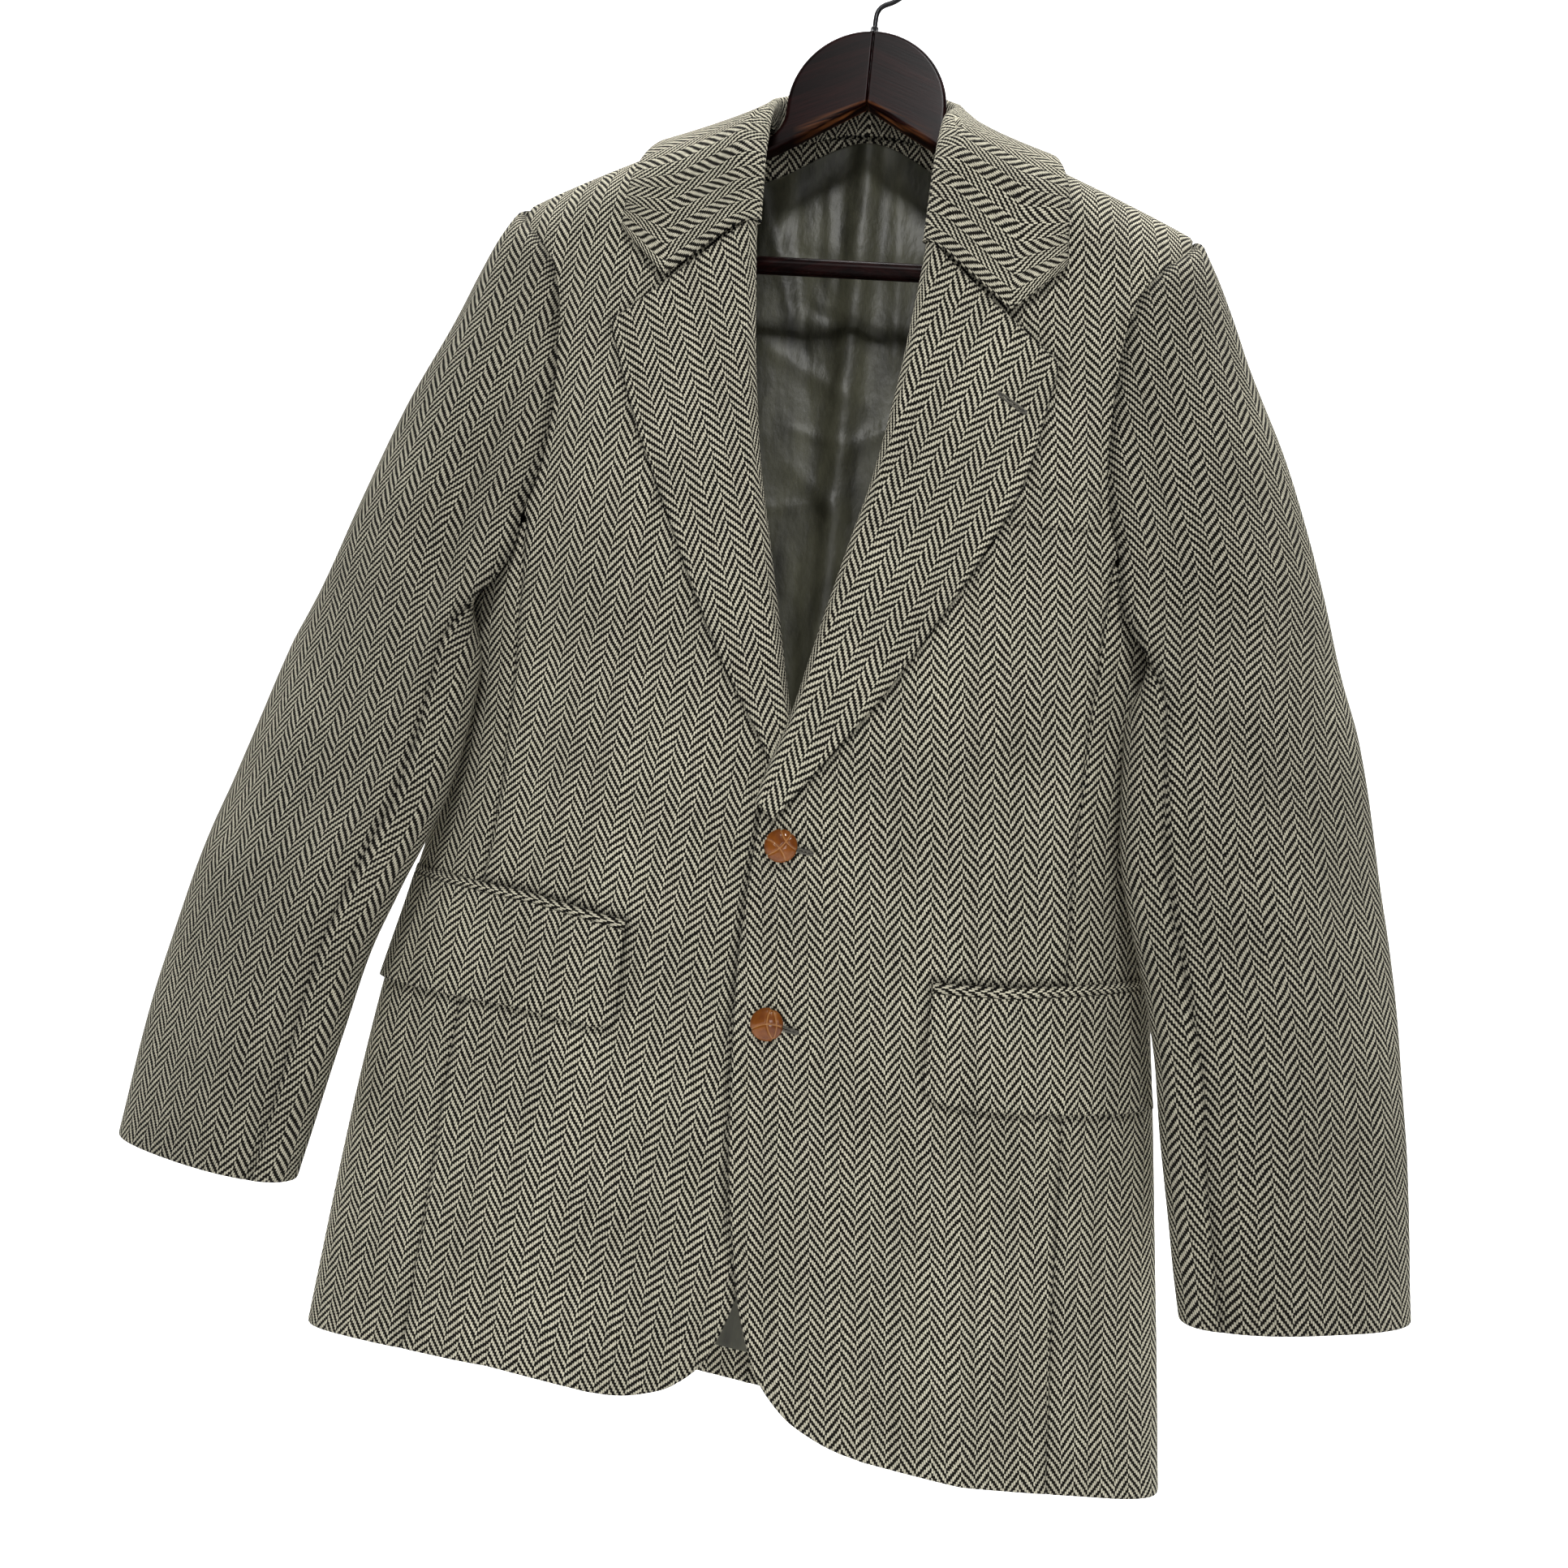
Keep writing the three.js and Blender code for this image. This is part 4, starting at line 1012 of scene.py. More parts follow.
def cap_row(u, height):
    """Half of a cap row: from the armhole at the front (0) over the outer edge (0.5) to the back (1)."""
    above = np.maximum(height, UNDERARM)
    start = choose(u < 0.5, armhole(-1, above), armhole(1, above))
    outer = sleeve_ring(0.5, height)
    angle = np.pi * clamp(u)
    x = lerp(start[..., 0], outer[..., 0], np.abs(superpower(np.sin(angle))))
    y = lerp(outer[..., 1], start[..., 1], np.abs(superpower(np.cos(angle))))
    return point(x, y, height)


def clear_of_body(place, lap):
    """Pushes a sleeve point out of the body's section, so that the sleeve hangs against the side."""
    x, y, z = place[..., 0], place[..., 1], place[..., 2]
    wide, deep = read(BODY, "halfWidth", z) + lap, body_depth(y < 0, z) + lap
    norm = (np.abs(x) / wide) ** SQUARENESS + (np.abs(y) / deep) ** SQUARENESS
    push = np.minimum(1, norm) ** (-1 / SQUARENESS)
    return point(x * push, y * push, z)


def cuff_line(x):
    return lerp(CUFF_INNER, CUFF_OUTER, clamp((x - 255) / 130))


def upper_sleeve(u, level):
    ring = lerp(FOREARM_SEAM, HIND_SEAM, u)
    bottom = cuff_line(sleeve_ring(ring, CUFF_INNER)[..., 0])
    height = np.where(level <= 1, lerp(bottom, UNDERARM, level), lerp(UNDERARM, CAP_TOP, level - 1))
    settled = ease((UNDERARM - height) / SLEEVE_SETTLE)
    made = lerp(cap_row(u, height), sleeve_ring(ring, height), settled[..., None])
    made[..., 2] = height
    hung = clear_of_body(made, lerp(UPPER_LAP, HUNG_GAP, settled))
    return choose(height < UNDERARM, hung, made)


def sleeve_grain(u, v, cut):
    """Width measured round the sleeve from the middle of its front wall."""
    width = lengths_along(cut[..., :2], 1)
    middle = int(np.argmin(np.abs(u[0] - 0.27)))
    slope = math.cos(math.radians(SLEEVE_LEAN))
    return (width - width[:, middle][:, None]) * slope, cut[..., 2] / slope


def sleeve_dip(outer):
    """Deep at the armhole, where the cap stands proud, and shallow along the sleeve's own seams."""
    above = outer[..., 2] - UNDERARM
    to_front = lerp(UPPER_LAP, LAP, ease(above / 50)) - 0.2
    return lerp(lerp(SEWN_DIP, 2.6, ease((above + 70) / 60)), to_front, ease(above / 15))


def underarm(u):
    height = side_top(u)
    first, last = side_angles(height, 4)
    angle = lerp(first, last, clamp(u))
    spot = around(angle, height)
    return moved_out(spot, around(angle + NUDGE, height), around(angle, height + NUDGE), UNDER_LAP)


def under_sleeve(u, v):
    middle = lerp(FOREARM_SEAM, HIND_SEAM - 1, u)
    bottom, top = cuff_line(sleeve_ring(middle, CUFF_INNER)[..., 0]), side_top(u)
    height = lerp(bottom, top, v)
    settled = ease((top - height) / SLEEVE_SETTLE)
    ring = lerp(FOREARM_SEAM + SLEEVE_ALLOWANCE, HIND_SEAM - SLEEVE_ALLOWANCE - 1, u)
    made = lerp(underarm(u), sleeve_ring(ring, height), settled[..., None])
    made[..., 2] = height
    return clear_of_body(made, lerp(UNDER_LAP, HUNG_GAP, ease((top - height) / 25)))


cap_levels = 1 + steps(CAP_LENGTH, start=(0,), end=SEWN_INSETS)
upper_levels = np.concatenate([steps(UPPER_LENGTH, end=(0,))[:-1], cap_levels])
for label, side in SIDES.items():
    shared = dict(side=side, tone=SLEEVE_PAINTED_SHADE, share=SLEEVE_SHARE, rise=sleeve_rise, turned=["low_v"],
                  sewn=["low_u", "high_u", "high_v"])
    tweed(f"upper_sleeve_{label}", upper_sleeve, steps(UPPER_WIDTH, start=SEWN_INSETS, end=SEWN_INSETS),
          upper_levels, sleeve_grain, dip=sleeve_dip, dip_reach=ROPE_REACH, **shared)
    tweed(f"under_sleeve_{label}", under_sleeve, steps(UNDER_WIDTH, start=SEWN_INSETS, end=SEWN_INSETS),
          steps(UNDER_LENGTH, end=SEWN_INSETS), across_grain, face=-1, dip=TUCKED, dip_reach=TUCK_REACH,
          **shared)

# %% [markdown]
# ## Lapels
#
# A lapel is the front's own facing, turned back. It starts inside the front's edge, rolls round it with a
# soft fold and lies on the chest. The fold is tight near the button and loose near the collar. The grain
# follows the lapel's outer edge, so the fishbone leans inwards on its way down.

# %% Lapels
LAPEL_EDGE_RISE = ROLLED + 1.9
ROLL_RISE_TOP = 7
ROLL_SHARE = 0.25
ROLL_WIDTH = 15
LAPEL_TOP_GAP = 0.001
LAPEL_LEAN = -20
LAPEL_WIDTH = 90
LAPEL_LENGTH = 340
GORGE_SHARE = 0.74
LAPEL = table("down rollZ overX overZ underX underZ", [
    [0, -160, 131.5, -222, 131.5, -222],
    [0.25, -225, 118, -292, 108, -284],
    [0.5, -305, 96, -345, 83, -336],
    [0.75, -385, 54, -420, 45, -411],
    [0.88, -440, 23, -465, 15, -460],
    [1, -495, -4, -503, -2, -493],
])


def leaf_rise(t, at_roll):
    """How far a lapel or collar stands off the panel: t is 0 at the roll and 1 at the free edge."""
    return lerp(LAPEL_EDGE_RISE, at_roll, (1 - clamp(t)) ** 1.6)


def roll_rise(height):
    return lerp(LAPEL_BREAK_RISE, ROLL_RISE_TOP, ease((height + 480) / 200))


def lifted_front(x, z, rise, over):
    def base(a, b):
        made = on_front(a, b)
        if over:
            made[..., 1] -= overlap_rise(a, b)
        return made

    return moved_out(base(x, z), base(x + 0.5, z), base(x, z + 0.5), rise)


def lapel(u, v, over):
    v = lerp(LAPEL_TOP_GAP, 1, v)
    which = "over" if over else "under"
    edge_x, edge_z = read(LAPEL, which + "X", v), read(LAPEL, which + "Z", v)
    roll_z = read(LAPEL, "rollZ", v)
    roll_x = read(FRONT, "inner", roll_z)
    at_roll = roll_rise(roll_z)
    t = (u - ROLL_SHARE) / (1 - ROLL_SHARE)
    lying = lifted_front(lerp(roll_x, edge_x, t), lerp(roll_z, edge_z, t), leaf_rise(t, at_roll), over)
    angle = np.pi * (1 - u / ROLL_SHARE)
    radius = (at_roll + CLOTH) / 2
    rolled = lifted_front(roll_x, roll_z, at_roll - radius + radius * np.cos(angle), over)
    rolled[..., 0] -= radius * np.sin(angle)
    return choose(u >= ROLL_SHARE, lying, rolled)


def lapel_grain(u, v, cut):
    """Round the roll the cloth goes on, although the roll itself is narrow."""
    round_roll = np.minimum(u - ROLL_SHARE, 0) * ROLL_WIDTH / ROLL_SHARE
    return lean_grain(cut[..., 0] + round_roll, cut[..., 2], LAPEL_LEAN)


lapel_columns = np.concatenate([np.linspace(0, ROLL_SHARE, 13)[:-1],
                                lerp(ROLL_SHARE, 1, steps(LAPEL_WIDTH, start=(0,)))])
for label, side in SIDES.items():
    tweed(f"lapel_{label}", lambda u, v: lapel(u, v, side > 0), lapel_columns, steps(LAPEL_LENGTH),
          lapel_grain, side=side, face=-1, thickness=ROLLED,
          turned=["high_u", ("low_v", GORGE_SHARE, 1), "high_v"], sewn=[("low_v", 0.3, 0.72)], dip=0.9)

# %% [markdown]
# ## Collar
#
# The collar is one strip from gorge to gorge. From the neck seam the stand rises, folds over and falls as
# the leaf, which lies on the shoulders and the chest. The strip was cut across the cloth, so here the
# fishbone runs along the collar.

# %% Collar
STAND_SHARE = 0.3
NOTCH_SHARE = 0.62
NOTCH_HEIGHT = -196.5
GORGE_GAP = 0.4
LEAF_SAG = 4.5
LEAF_WIDTH = 52
COLLAR_HALF = 235
COLLAR_PLACES = 6
COLLAR = table("place neckX neckTurn foldX foldY foldZ edgeX edgeTurn outX outY outZ", [
    [0, 0, 58, 0, 35, -20, 0, 84, 0, 1, 0.3],
    [1, 28, 50.6, 29, 32, -23, 42, 60, 0.35, 0.9, 0.3],
    [2, 50, 32.5, 49, 17, -34, 82, 30, 0.8, 0.5, 0.4],
    [3, 61.5, 1, 57.5, -10, -52, 107, -2, 0.8, -0.4, 0.45],
    [4, 58.5, -65, 53.5, -49, -80, 121, -50, 0.25, -0.9, 0.35],
    [5, 55.5, -98, 51.5, -66, -116, 128, -84, 0, -1, 0.1],
    [6, 54, -137, 50, -69, -158, 130, -107.8, 0, -1, 0],
])


def hermite(start, start_way, end, end_way, t):
    t = t[..., None]
    bend = start_way * (t**3 - 2 * t * t + t) + end_way * (t**3 - t * t)
    return start * (2 * t**3 - 3 * t * t + 1) + end * (3 * t * t - 2 * t**3) + bend


def yoke_out(x, turn, rise):
    return moved_out(yoke(x, turn), yoke(x + 0.5, turn), yoke(x, turn + 0.5), rise)


def collar_half(u, place_along):
    rounded = np.sqrt(place_along**2 + 0.2**2) - 0.2 * (1 - place_along / COLLAR_PLACES)

    def get(key):
        return read(COLLAR, key, place_along if key.endswith("X") else rounded)

    fold = point(get("foldX"), get("foldY"), get("foldZ"))
    over = unit(point(get("outX"), get("outY"), get("outZ")))
    to_front = ease((place_along - 2.6) / 2)
    neck = yoke_out(get("neckX"), get("neckTurn"), -CLOTH)
    neck = neck + point(-lerp(0, 0.9, to_front), 0, lerp(1.6, 0, to_front))
    tall = np.linalg.norm(fold - neck, axis=-1)
    up = point(lerp(-0.1, -1, to_front), 0, lerp(1, 0, to_front)) * tall[..., None]
    stand = hermite(neck, up, fold, over * lerp(9, 7, to_front)[..., None], u / STAND_SHARE)
    t = (u - STAND_SHARE) / (1 - STAND_SHARE)
    edge_x, edge_turn = get("edgeX"), get("edgeTurn")
    edge = yoke_out(edge_x, edge_turn, LAPEL_EDGE_RISE)
    down = yoke(edge_x + 4, edge_turn) - yoke(edge_x, edge_turn)
    down[..., 2] -= lerp(4, 0, to_front)
    reach = np.linalg.norm(edge - fold, axis=-1)[..., None]
    draped = hermite(fold, over * lerp(11, 12, to_front)[..., None], edge, unit(down) * reach * 0.5, t)
    on_shoulder = ease(place_along - 1) * (1 - ease(place_along - 4))
    draped[..., 2] -= LEAF_SAG * np.sin(np.pi * clamp(t)) * on_shoulder
    lying = ease((place_along - 3.4) / 1.4)
    past = np.maximum(0, (place_along - 4) / 2) ** 1.6
    droop = past * np.minimum(t / NOTCH_SHARE, (1 - t) / (1 - NOTCH_SHARE))
    flat_x = lerp(get("foldX") + 3.5 * lying, edge[..., 0], t)
    chord_end = lerp(-160, -166, NOTCH_SHARE)
    flat_z = lerp(get("foldZ"), edge[..., 2], t) + droop * (NOTCH_HEIGHT + GORGE_GAP - chord_end)
    on_chest = lifted_front(flat_x, flat_z, leaf_rise(t, ROLL_RISE_TOP), False)
    leaf = lerp(draped, on_chest, (lying * ease(t / 0.12))[..., None])
    return choose(u < STAND_SHARE, stand, leaf)


def collar(u, along):
    made = collar_half(u, np.abs(along) * COLLAR_PLACES)
    made[..., 0] *= np.where(along < 0, -1, 1)
    return made


def collar_grain(u, v, cut):
    middle = int(np.argmin(np.abs(u[0] - 0.6)))
    along = lengths_along(cut[:, middle])
    return np.interp(v, v[:, 0], along - along[len(along) // 2]), lengths_along(cut, 1)


collar_columns = np.concatenate([np.linspace(0, 0.18, 6)[:-1], np.linspace(0.18, 0.44, 19)[:-1],
                                 lerp(0.44, 1, steps(LEAF_WIDTH, start=(0,)))])
half_collar = steps(COLLAR_HALF, start=(0,))
collar_along = np.concatenate([-half_collar[:0:-1], half_collar])
tweed("collar", collar, collar_columns, collar_along, collar_grain, thickness=ROLLED,
      turned=["high_u", ("low_v", 0.72, 1), ("high_v", 0.72, 1)],
      sewn=[("low_v", 0.3, 0.7), ("high_v", 0.3, 0.7)], dip=0.9)

# %% [markdown]
# ## Pockets
#
# Each slanted pocket has a narrow jet, which is a folded strip sewn along the slit, and a flap that hangs
# from under it. The flap matches the front's fishbone, but the jet is cut the other way, so its yarns run
# along it. The chest has one welt. The two flaps stand off the cloth a little more towards their lower edge.

# %% Pockets
FLAP_CLOTH = 1.6
JET_CLOTH = 1.4
JET_HEIGHT = 6
JET_BOW = 1.5
FLAP_CORNER = 9
FLAP_LENGTH = 145
FLAP_DROP = 62
FLAP_STAND = 3
POCKET_END = 0.975
POCKETS = {
    "right": dict(side=-1, inner_x=84, inner_top=-581, inner_bottom=-641, outer_top=-566, outer_bottom=-634),
    "left": dict(side=1, inner_x=95, inner_top=-582, inner_bottom=-641, outer_top=-566, outer_bottom=-632),
}


def on_pocket(pocket, u, height, rise):
    first = angle_at(pocket["inner_x"], height)
    last = angle_at(POCKET_END * read(BODY, "halfWidth", height), height)
    angle = lerp(first, last, u)
    spot = around(angle, height)
    return moved_out(spot, around(angle + 0.5, height), around(angle, height + 0.5), rise)


def pocket_top(pocket, u):
    return lerp(pocket["inner_top"], pocket["outer_top"], u) + JET_BOW * np.sin(np.pi * clamp(u))


def flap(pocket, u, v):
    short = np.maximum(0, FLAP_CORNER - clamp(u) * FLAP_LENGTH)
    corner = FLAP_CORNER - np.sqrt(FLAP_CORNER**2 - short**2)
    bottom = lerp(pocket["inner_bottom"], pocket["outer_bottom"], u) + corner
    away = clamp(1 - v) ** 1.5
    return on_pocket(pocket, u, lerp(bottom, pocket_top(pocket, u), v), FLAP_CLOTH + 0.5 + FLAP_STAND * away)


def jet(pocket, u, v):
    return on_pocket(pocket, u, pocket_top(pocket, u) + 0.1 + JET_HEIGHT * v, JET_CLOTH + 0.5)


def matched_grain(u, v, cut):
    return lean_grain(cloth_width(cut[..., 0], cut[..., 2]), cut[..., 2], FRONT_LEAN)


def jet_grain(u, v, cut):
    return ENDS_TO_TURN * END_PITCH + (v - 0.5) * JET_HEIGHT * 1.15, u * FLAP_LENGTH


for label, pocket in POCKETS.items():
    tweed(f"pocket_flap_{label}", lambda u, v: flap(pocket, u, v), steps(FLAP_LENGTH, 3),
          steps(FLAP_DROP, 3), matched_grain, side=pocket["side"], thickness=FLAP_CLOTH,
          turned=["low_u", "high_u", "low_v"])
    tweed(f"pocket_jet_{label}", lambda u, v: jet(pocket, u, v), steps(FLAP_LENGTH, 2),
          steps(JET_HEIGHT, 0.7), jet_grain, side=pocket["side"], thickness=JET_CLOTH,
          turned=["low_u", "high_u", "low_v", "high_v"])

WELT_FROM = 113
WELT_TO = 163
WELT_TOP = -296
WELT_HEIGHT = 23
WELT_CLOTH = 1.2


def welt(u, v):
    height = WELT_TOP - WELT_HEIGHT * (1 - v)
    return lifted_front(lerp(WELT_FROM, WELT_TO, u), height, WELT_CLOTH + 0.4, False)


tweed("breast_welt", welt, steps(WELT_TO - WELT_FROM, 2.5), steps(WELT_HEIGHT, 2), matched_grain,
      thickness=WELT_CLOTH, replaces=["breast_welt_left"],
      turned=["high_v"], sewn=["low_u", "high_u", "low_v"], dip=0.8)

# %% [markdown]
# ## Sewing the fronts
#
# Where one layer lies on another, the lower one is dark along the upper one's edge. The fronts are made now
# that the edges of the lapels, flaps and jets are known, so that they can carry these narrow shadows.

# %% Fronts with their shadows
LAPEL_SHADOW = (7.5, 0.8)
FLAP_SHADOW = (6.5, 0.75)
OVERLAP_SHADOW = (5.0, 0.65)
SLIT_SHADOW = (2.6, 0.9)
SLIT_HEIGHTS = (-517, -618)


def edges_on_front(label, side):
    """Lines that cast a shadow, each group with how far it reaches and how dark it is."""
    spread = np.linspace(0, 1, 120)
    zeros, ones = np.zeros(120), np.ones(120)
    over = side > 0
    lapel_edges = [lapel(ones, spread, over), lapel(lerp(GORGE_SHARE, 1, spread), zeros, over)]
    pocket = POCKETS[label]
    flap_edges = [flap(pocket, spread, zeros), flap(pocket, zeros, spread)]
    jet_edges = [jet(pocket, spread, ones), jet(pocket, zeros, spread)]
    shadows = [(lapel_edges, *LAPEL_SHADOW), (flap_edges + jet_edges, *FLAP_SHADOW)]
    if over:
        reach = np.linspace(10, 20, 20)
        slits = [lifted_front(reach, np.full(20, height), 0, True) for height in SLIT_HEIGHTS]
        shadows.append((slits, *SLIT_SHADOW))
    else:
        heights = np.linspace(-830, -500, 200)
        other = on_front(read(FRONT, "inner", heights), heights) * np.array([-1, 1, 1])
        shadows.append(([other], *OVERLAP_SHADOW))
    return shadows


for label, side in SIDES.items():
    tweed(f"front_{label}", lambda u, v: front_panel(u, v, side > 0), steps(FRONT_SPAN, end=SEWN_INSETS),
          front_rows, front_grain, side=side, turned=["low_u", "low_v"], sewn=["high_u", "high_v"],
          shaded_by=edges_on_front(label, side))

# %% [markdown]
# ## Back lining
#
# Through the neck and the open front one sees the inside of the back. Its lining has a pleat down the middle
# for ease, and thin cloth like this falls in small uneven folds. It follows the back's own creases, so that
# the two stay apart.

# %% Lining
LINING_CLOTH = 1
LINING_GAP = 3
LINING_TOP_DROP = 12
LINING_BOTTOM = -838
LINING_INSET = 9
LINING_WIDEST = 0.8
LINING_WIDTH = 340
LINING_LENGTH = 790
PLEAT_WIDTH = 9
PLEAT_DEPTH = 5
LINING_CREASES = table(CREASE_NAMES, [
    [-74, -60, -40, -170, 5, 1.8],
    [-48, -75, -22, -240, 6, -1.6],
    [-24, -70, -16, -150, 4, 1.5],
    [22, -66, 30, -190, 5, 1.7],
    [44, -70, 34, -250, 6, -1.5],
    [60, -72, 46, -160, 5, 1.6],
    [-60, -190, 10, -225, 6, 1.5],
    [-52, -128, -18, -138, 3, 1.2],
    [-40, -160, 26, -182, 3, -1.1],
    [8, -250, 44, -232, 3, 1.2],
    [-34, -245, 4, -252, 3, 1.0],
    [-44, -300, -2, -290, 3, 1.1],
    [10, -385, 30, -345, 3, 1.0],
    [56, -215, 0, -262, 5, 1.3],
    [-30, -270, 40, -330, 6, 1.4],
    [-14, -330, -8, -450, 5, 1.2],
    [20, -300, 14, -470, 6, -1.2],
    [-60, -640, -20, -820, 9, 2.2],
    [10, -650, 22, -830, 8, 2],
    [60, -660, 92, -825, 10, 2.4],
    [130, -640, 150, -820, 9, 1.8],
])


def lining(u, v):
    across = lerp(-1, 1, u)

    def wide(z):
        return np.minimum(read(BACK, "outer", z) - LINING_INSET, read(BODY, "halfWidth", z) * LINING_WIDEST)

    x = across * wide(lerp(LINING_BOTTOM, shoulder_line(150) - LINING_TOP_DROP, v))
    reach = np.abs(x)
    top = np.where(reach < NECK_SIDE, neckline(np.minimum(reach, NECK_SIDE)), shoulder_line(reach)) - 2
    z = lerp(LINING_BOTTOM, top - LINING_TOP_DROP * ease(reach / NECK_SIDE), v)
    pleat = PLEAT_DEPTH * np.exp(-((x / PLEAT_WIDTH) ** 2)) * ease((v - 0.02) / 0.3)
    return moved_out(on_back(x, z), on_back(x - 0.5, z), on_back(x, z + 0.5), -(CLOTH + LINING_GAP + pleat))


def lining_rise(points, normals):
    x, z = points[..., 0], points[..., 2]
    ends = ease((z - LINING_BOTTOM) / 30) * ease((-52 - z) / 40)
    folds = crease_field(LINING_CREASES, x, z) * ends
    return crease_field(BACK_CREASES, x, z) - np.maximum(folds, -1.6)


def lining_grain(u, v, cut):
    return cut[..., 0], cut[..., 2]


cloth("satin_back_lining", lining, steps(LINING_WIDTH, 2.6), steps(LINING_LENGTH, 3.2), lining_grain,
      face=-1, thickness=LINING_CLOTH, rise=lining_rise, material=SATIN, slot="lining",
      replaces=["lining_back"], turned=["low_u", "high_u", "low_v", "high_v"])

# %% [markdown]
# ## Solid finishes
#
# Leather, wood, blackened steel and thread are simpler than cloth. Leather gets a fine pebble and pale cut
# edges in its seams. The wood's lines run along the arms, which slope, so their coordinate slopes with them.

# %% Leather, wood, steel and thread
LEATHER_BROWN = (0.225, 0.066, 0.004, 1)
LEATHER_DEEP = (0.115, 0.027, 0.002, 1)
LEATHER_EDGE = (0.34, 0.15, 0.045, 1)
WOOD_RED = (0.012, 0.0026, 0.0024, 1)
WOOD_BLACK = (0.0042, 0.0012, 0.0012, 1)
WOOD_RAW = (0.30, 0.105, 0.035, 1)


def make_leather():
    finish = Finish("tan_leather", Roughness=0.5, Specular_IOR_Level=0.12, Coat_Weight=0.55,
                    Coat_Roughness=0.07)
    places = finish.places()
    cloudy = finish.span(finish.noise(places, 130, 4), 0.32, 0.68)
    hide = finish.mix(cloudy, LEATHER_DEEP, LEATHER_BROWN)
    finish.colour(finish.mix(finish.written("seam"), hide, LEATHER_EDGE))
    pebble = finish.noise(places, 1500, 3)
    finish.relief(pebble, 0.0002, 0.4)
    return finish.material


def make_wood():
    finish = Finish("dark_mahogany", Roughness=0.32, Specular_IOR_Level=0.05, Coat_Weight=0.02,
                    Coat_Roughness=0.1)
    x, y, z = finish.add("ShaderNodeSeparateXYZ", finish.places()).outputs
    reach = finish.math("ABSOLUTE", x)
    sloping = finish.math("MULTIPLY_ADD", reach, SHOULDER_SLOPE, z)
    lying = finish.add("ShaderNodeCombineXYZ", finish.math("MULTIPLY", x, 0.06), y, sloping).outputs[0]
    pores = finish.noise(lying, 900, 4)
    bands = finish.noise(lying, 140, 3)
    tone = finish.mix(finish.span(bands, 0.35, 0.65), WOOD_BLACK, WOOD_RED)
    streak = finish.shade(tone, finish.span(pores, 0.35, 0.65, 0.6, 1.35))
    under_top, over_bottom = finish.span(sloping, -0.106, -0.110), finish.span(sloping, -0.125, -0.120)
    by_edge = finish.math("MULTIPLY", under_top, over_bottom)
    near_apex = finish.math("MULTIPLY", finish.span(reach, 0.045, 0.015), by_edge)
    worn = finish.math("MULTIPLY", near_apex, finish.span(finish.noise(lying, 260, 3), 0.42, 0.62))
    finish.colour(finish.mix(worn, streak, WOOD_RAW))
    finish.relief(pores, 0.00015, 0.25)
    return finish.material


def make_steel():
    finish = Finish("blackened_steel", Metallic=0.7, Roughness=0.34, Base_Color=(0.012, 0.012, 0.014, 1))
    scuffs = finish.noise(finish.places(), 700, 3)
    finish.put(finish.span(scuffs, 0.35, 0.7, 0.28, 0.5), finish.shader.inputs["Roughness"])
    return finish.material


def make_thread():
    finish = Finish("buttonhole_thread", Roughness=0.7, Sheen_Weight=0.2)
    strands = finish.noise(finish.places(), 2500, 2)
    finish.colour(finish.mix(strands, (0.030, 0.027, 0.021, 1), (0.10, 0.092, 0.070, 1)))
    finish.relief(strands, 0.0002, 0.5)
    return finish.material


LEATHER, WOOD, STEEL, THREAD = make_leather(), make_wood(), make_steel(), make_thread()
print("solid finishes ready")

# %% [markdown]
# ## Buttons and buttonholes
#
# Each button is a dome of plaited leather. The strips cross and leave curved seams with pale cut edges, so
# the dome is pressed in along those curves. A buttonhole is a slit with thread worked round it. `tube`
# follows any path and may swell as it goes, so it makes the thread's stitches here and the hook's wire later.

# %% Buttons, buttonholes
BUTTON_RADIUS = 9.5
BUTTON_HEIGHT = 5.2
SHANK_RADIUS = 2.4
SHANK_LENGTH = 1.6
RIM_HEIGHT = 1.4
SEAM_DEPTH = 0.75
SEAM_WIDTH = 0.55


def grid_mesh(name, rings, closed_ends=True):
    """A closed mesh from rings of points that all run round the same way."""
    count, around_count = rings.shape[:2]
    index = np.arange(count * around_count).reshape(count, around_count)
    following = np.roll(index, -1, axis=1)
    quads = np.stack([index[:-1], following[:-1], following[1:], index[1:]], -1).reshape(-1, 4).tolist()
    if closed_ends:
        quads.append(index[0, ::-1].tolist())
        quads.append(index[-1].tolist())
    mesh = bpy.data.meshes.new(name)
    mesh.from_pydata((rings.reshape(-1, 3) * 0.001).tolist(), [], quads)
    mesh.polygons.foreach_set("use_smooth", np.ones(len(mesh.polygons), bool))
    return mesh


def tube(name, path, radius, sides=12, loop=False):
    """A round bar along a path; radius may be one number or one for each point."""
    path = np.asarray(path, float)
    ahead = (np.roll(path, -1, 0) - np.roll(path, 1, 0)) if loop else np.gradient(path, axis=0)
    ahead = unit(ahead)
    sideways = unit(np.cross(ahead, [0, 1, 0]))
    upward = np.cross(sideways, ahead)
    angles = np.linspace(0, 2 * np.pi, sides, endpoint=False)
    size = np.broadcast_to(radius, len(path))[:, None, None]
    ring = sideways[:, None] * np.cos(angles)[:, None] + upward[:, None] * np.sin(angles)[:, None]
    rings = path[:, None] + ring * size
    if loop:
        rings = np.concatenate([rings, rings[:1]])
    mesh = grid_mesh(name, rings[:, ::-1], not loop)
    if loop:
        merge_doubles(mesh)
    return mesh


def merge_doubles(mesh):
    shape = bmesh.new()
    shape.from_mesh(mesh)
    bmesh.ops.remove_doubles(shape, verts=shape.verts, dist=1e-7)
    shape.to_mesh(mesh)
    shape.free()


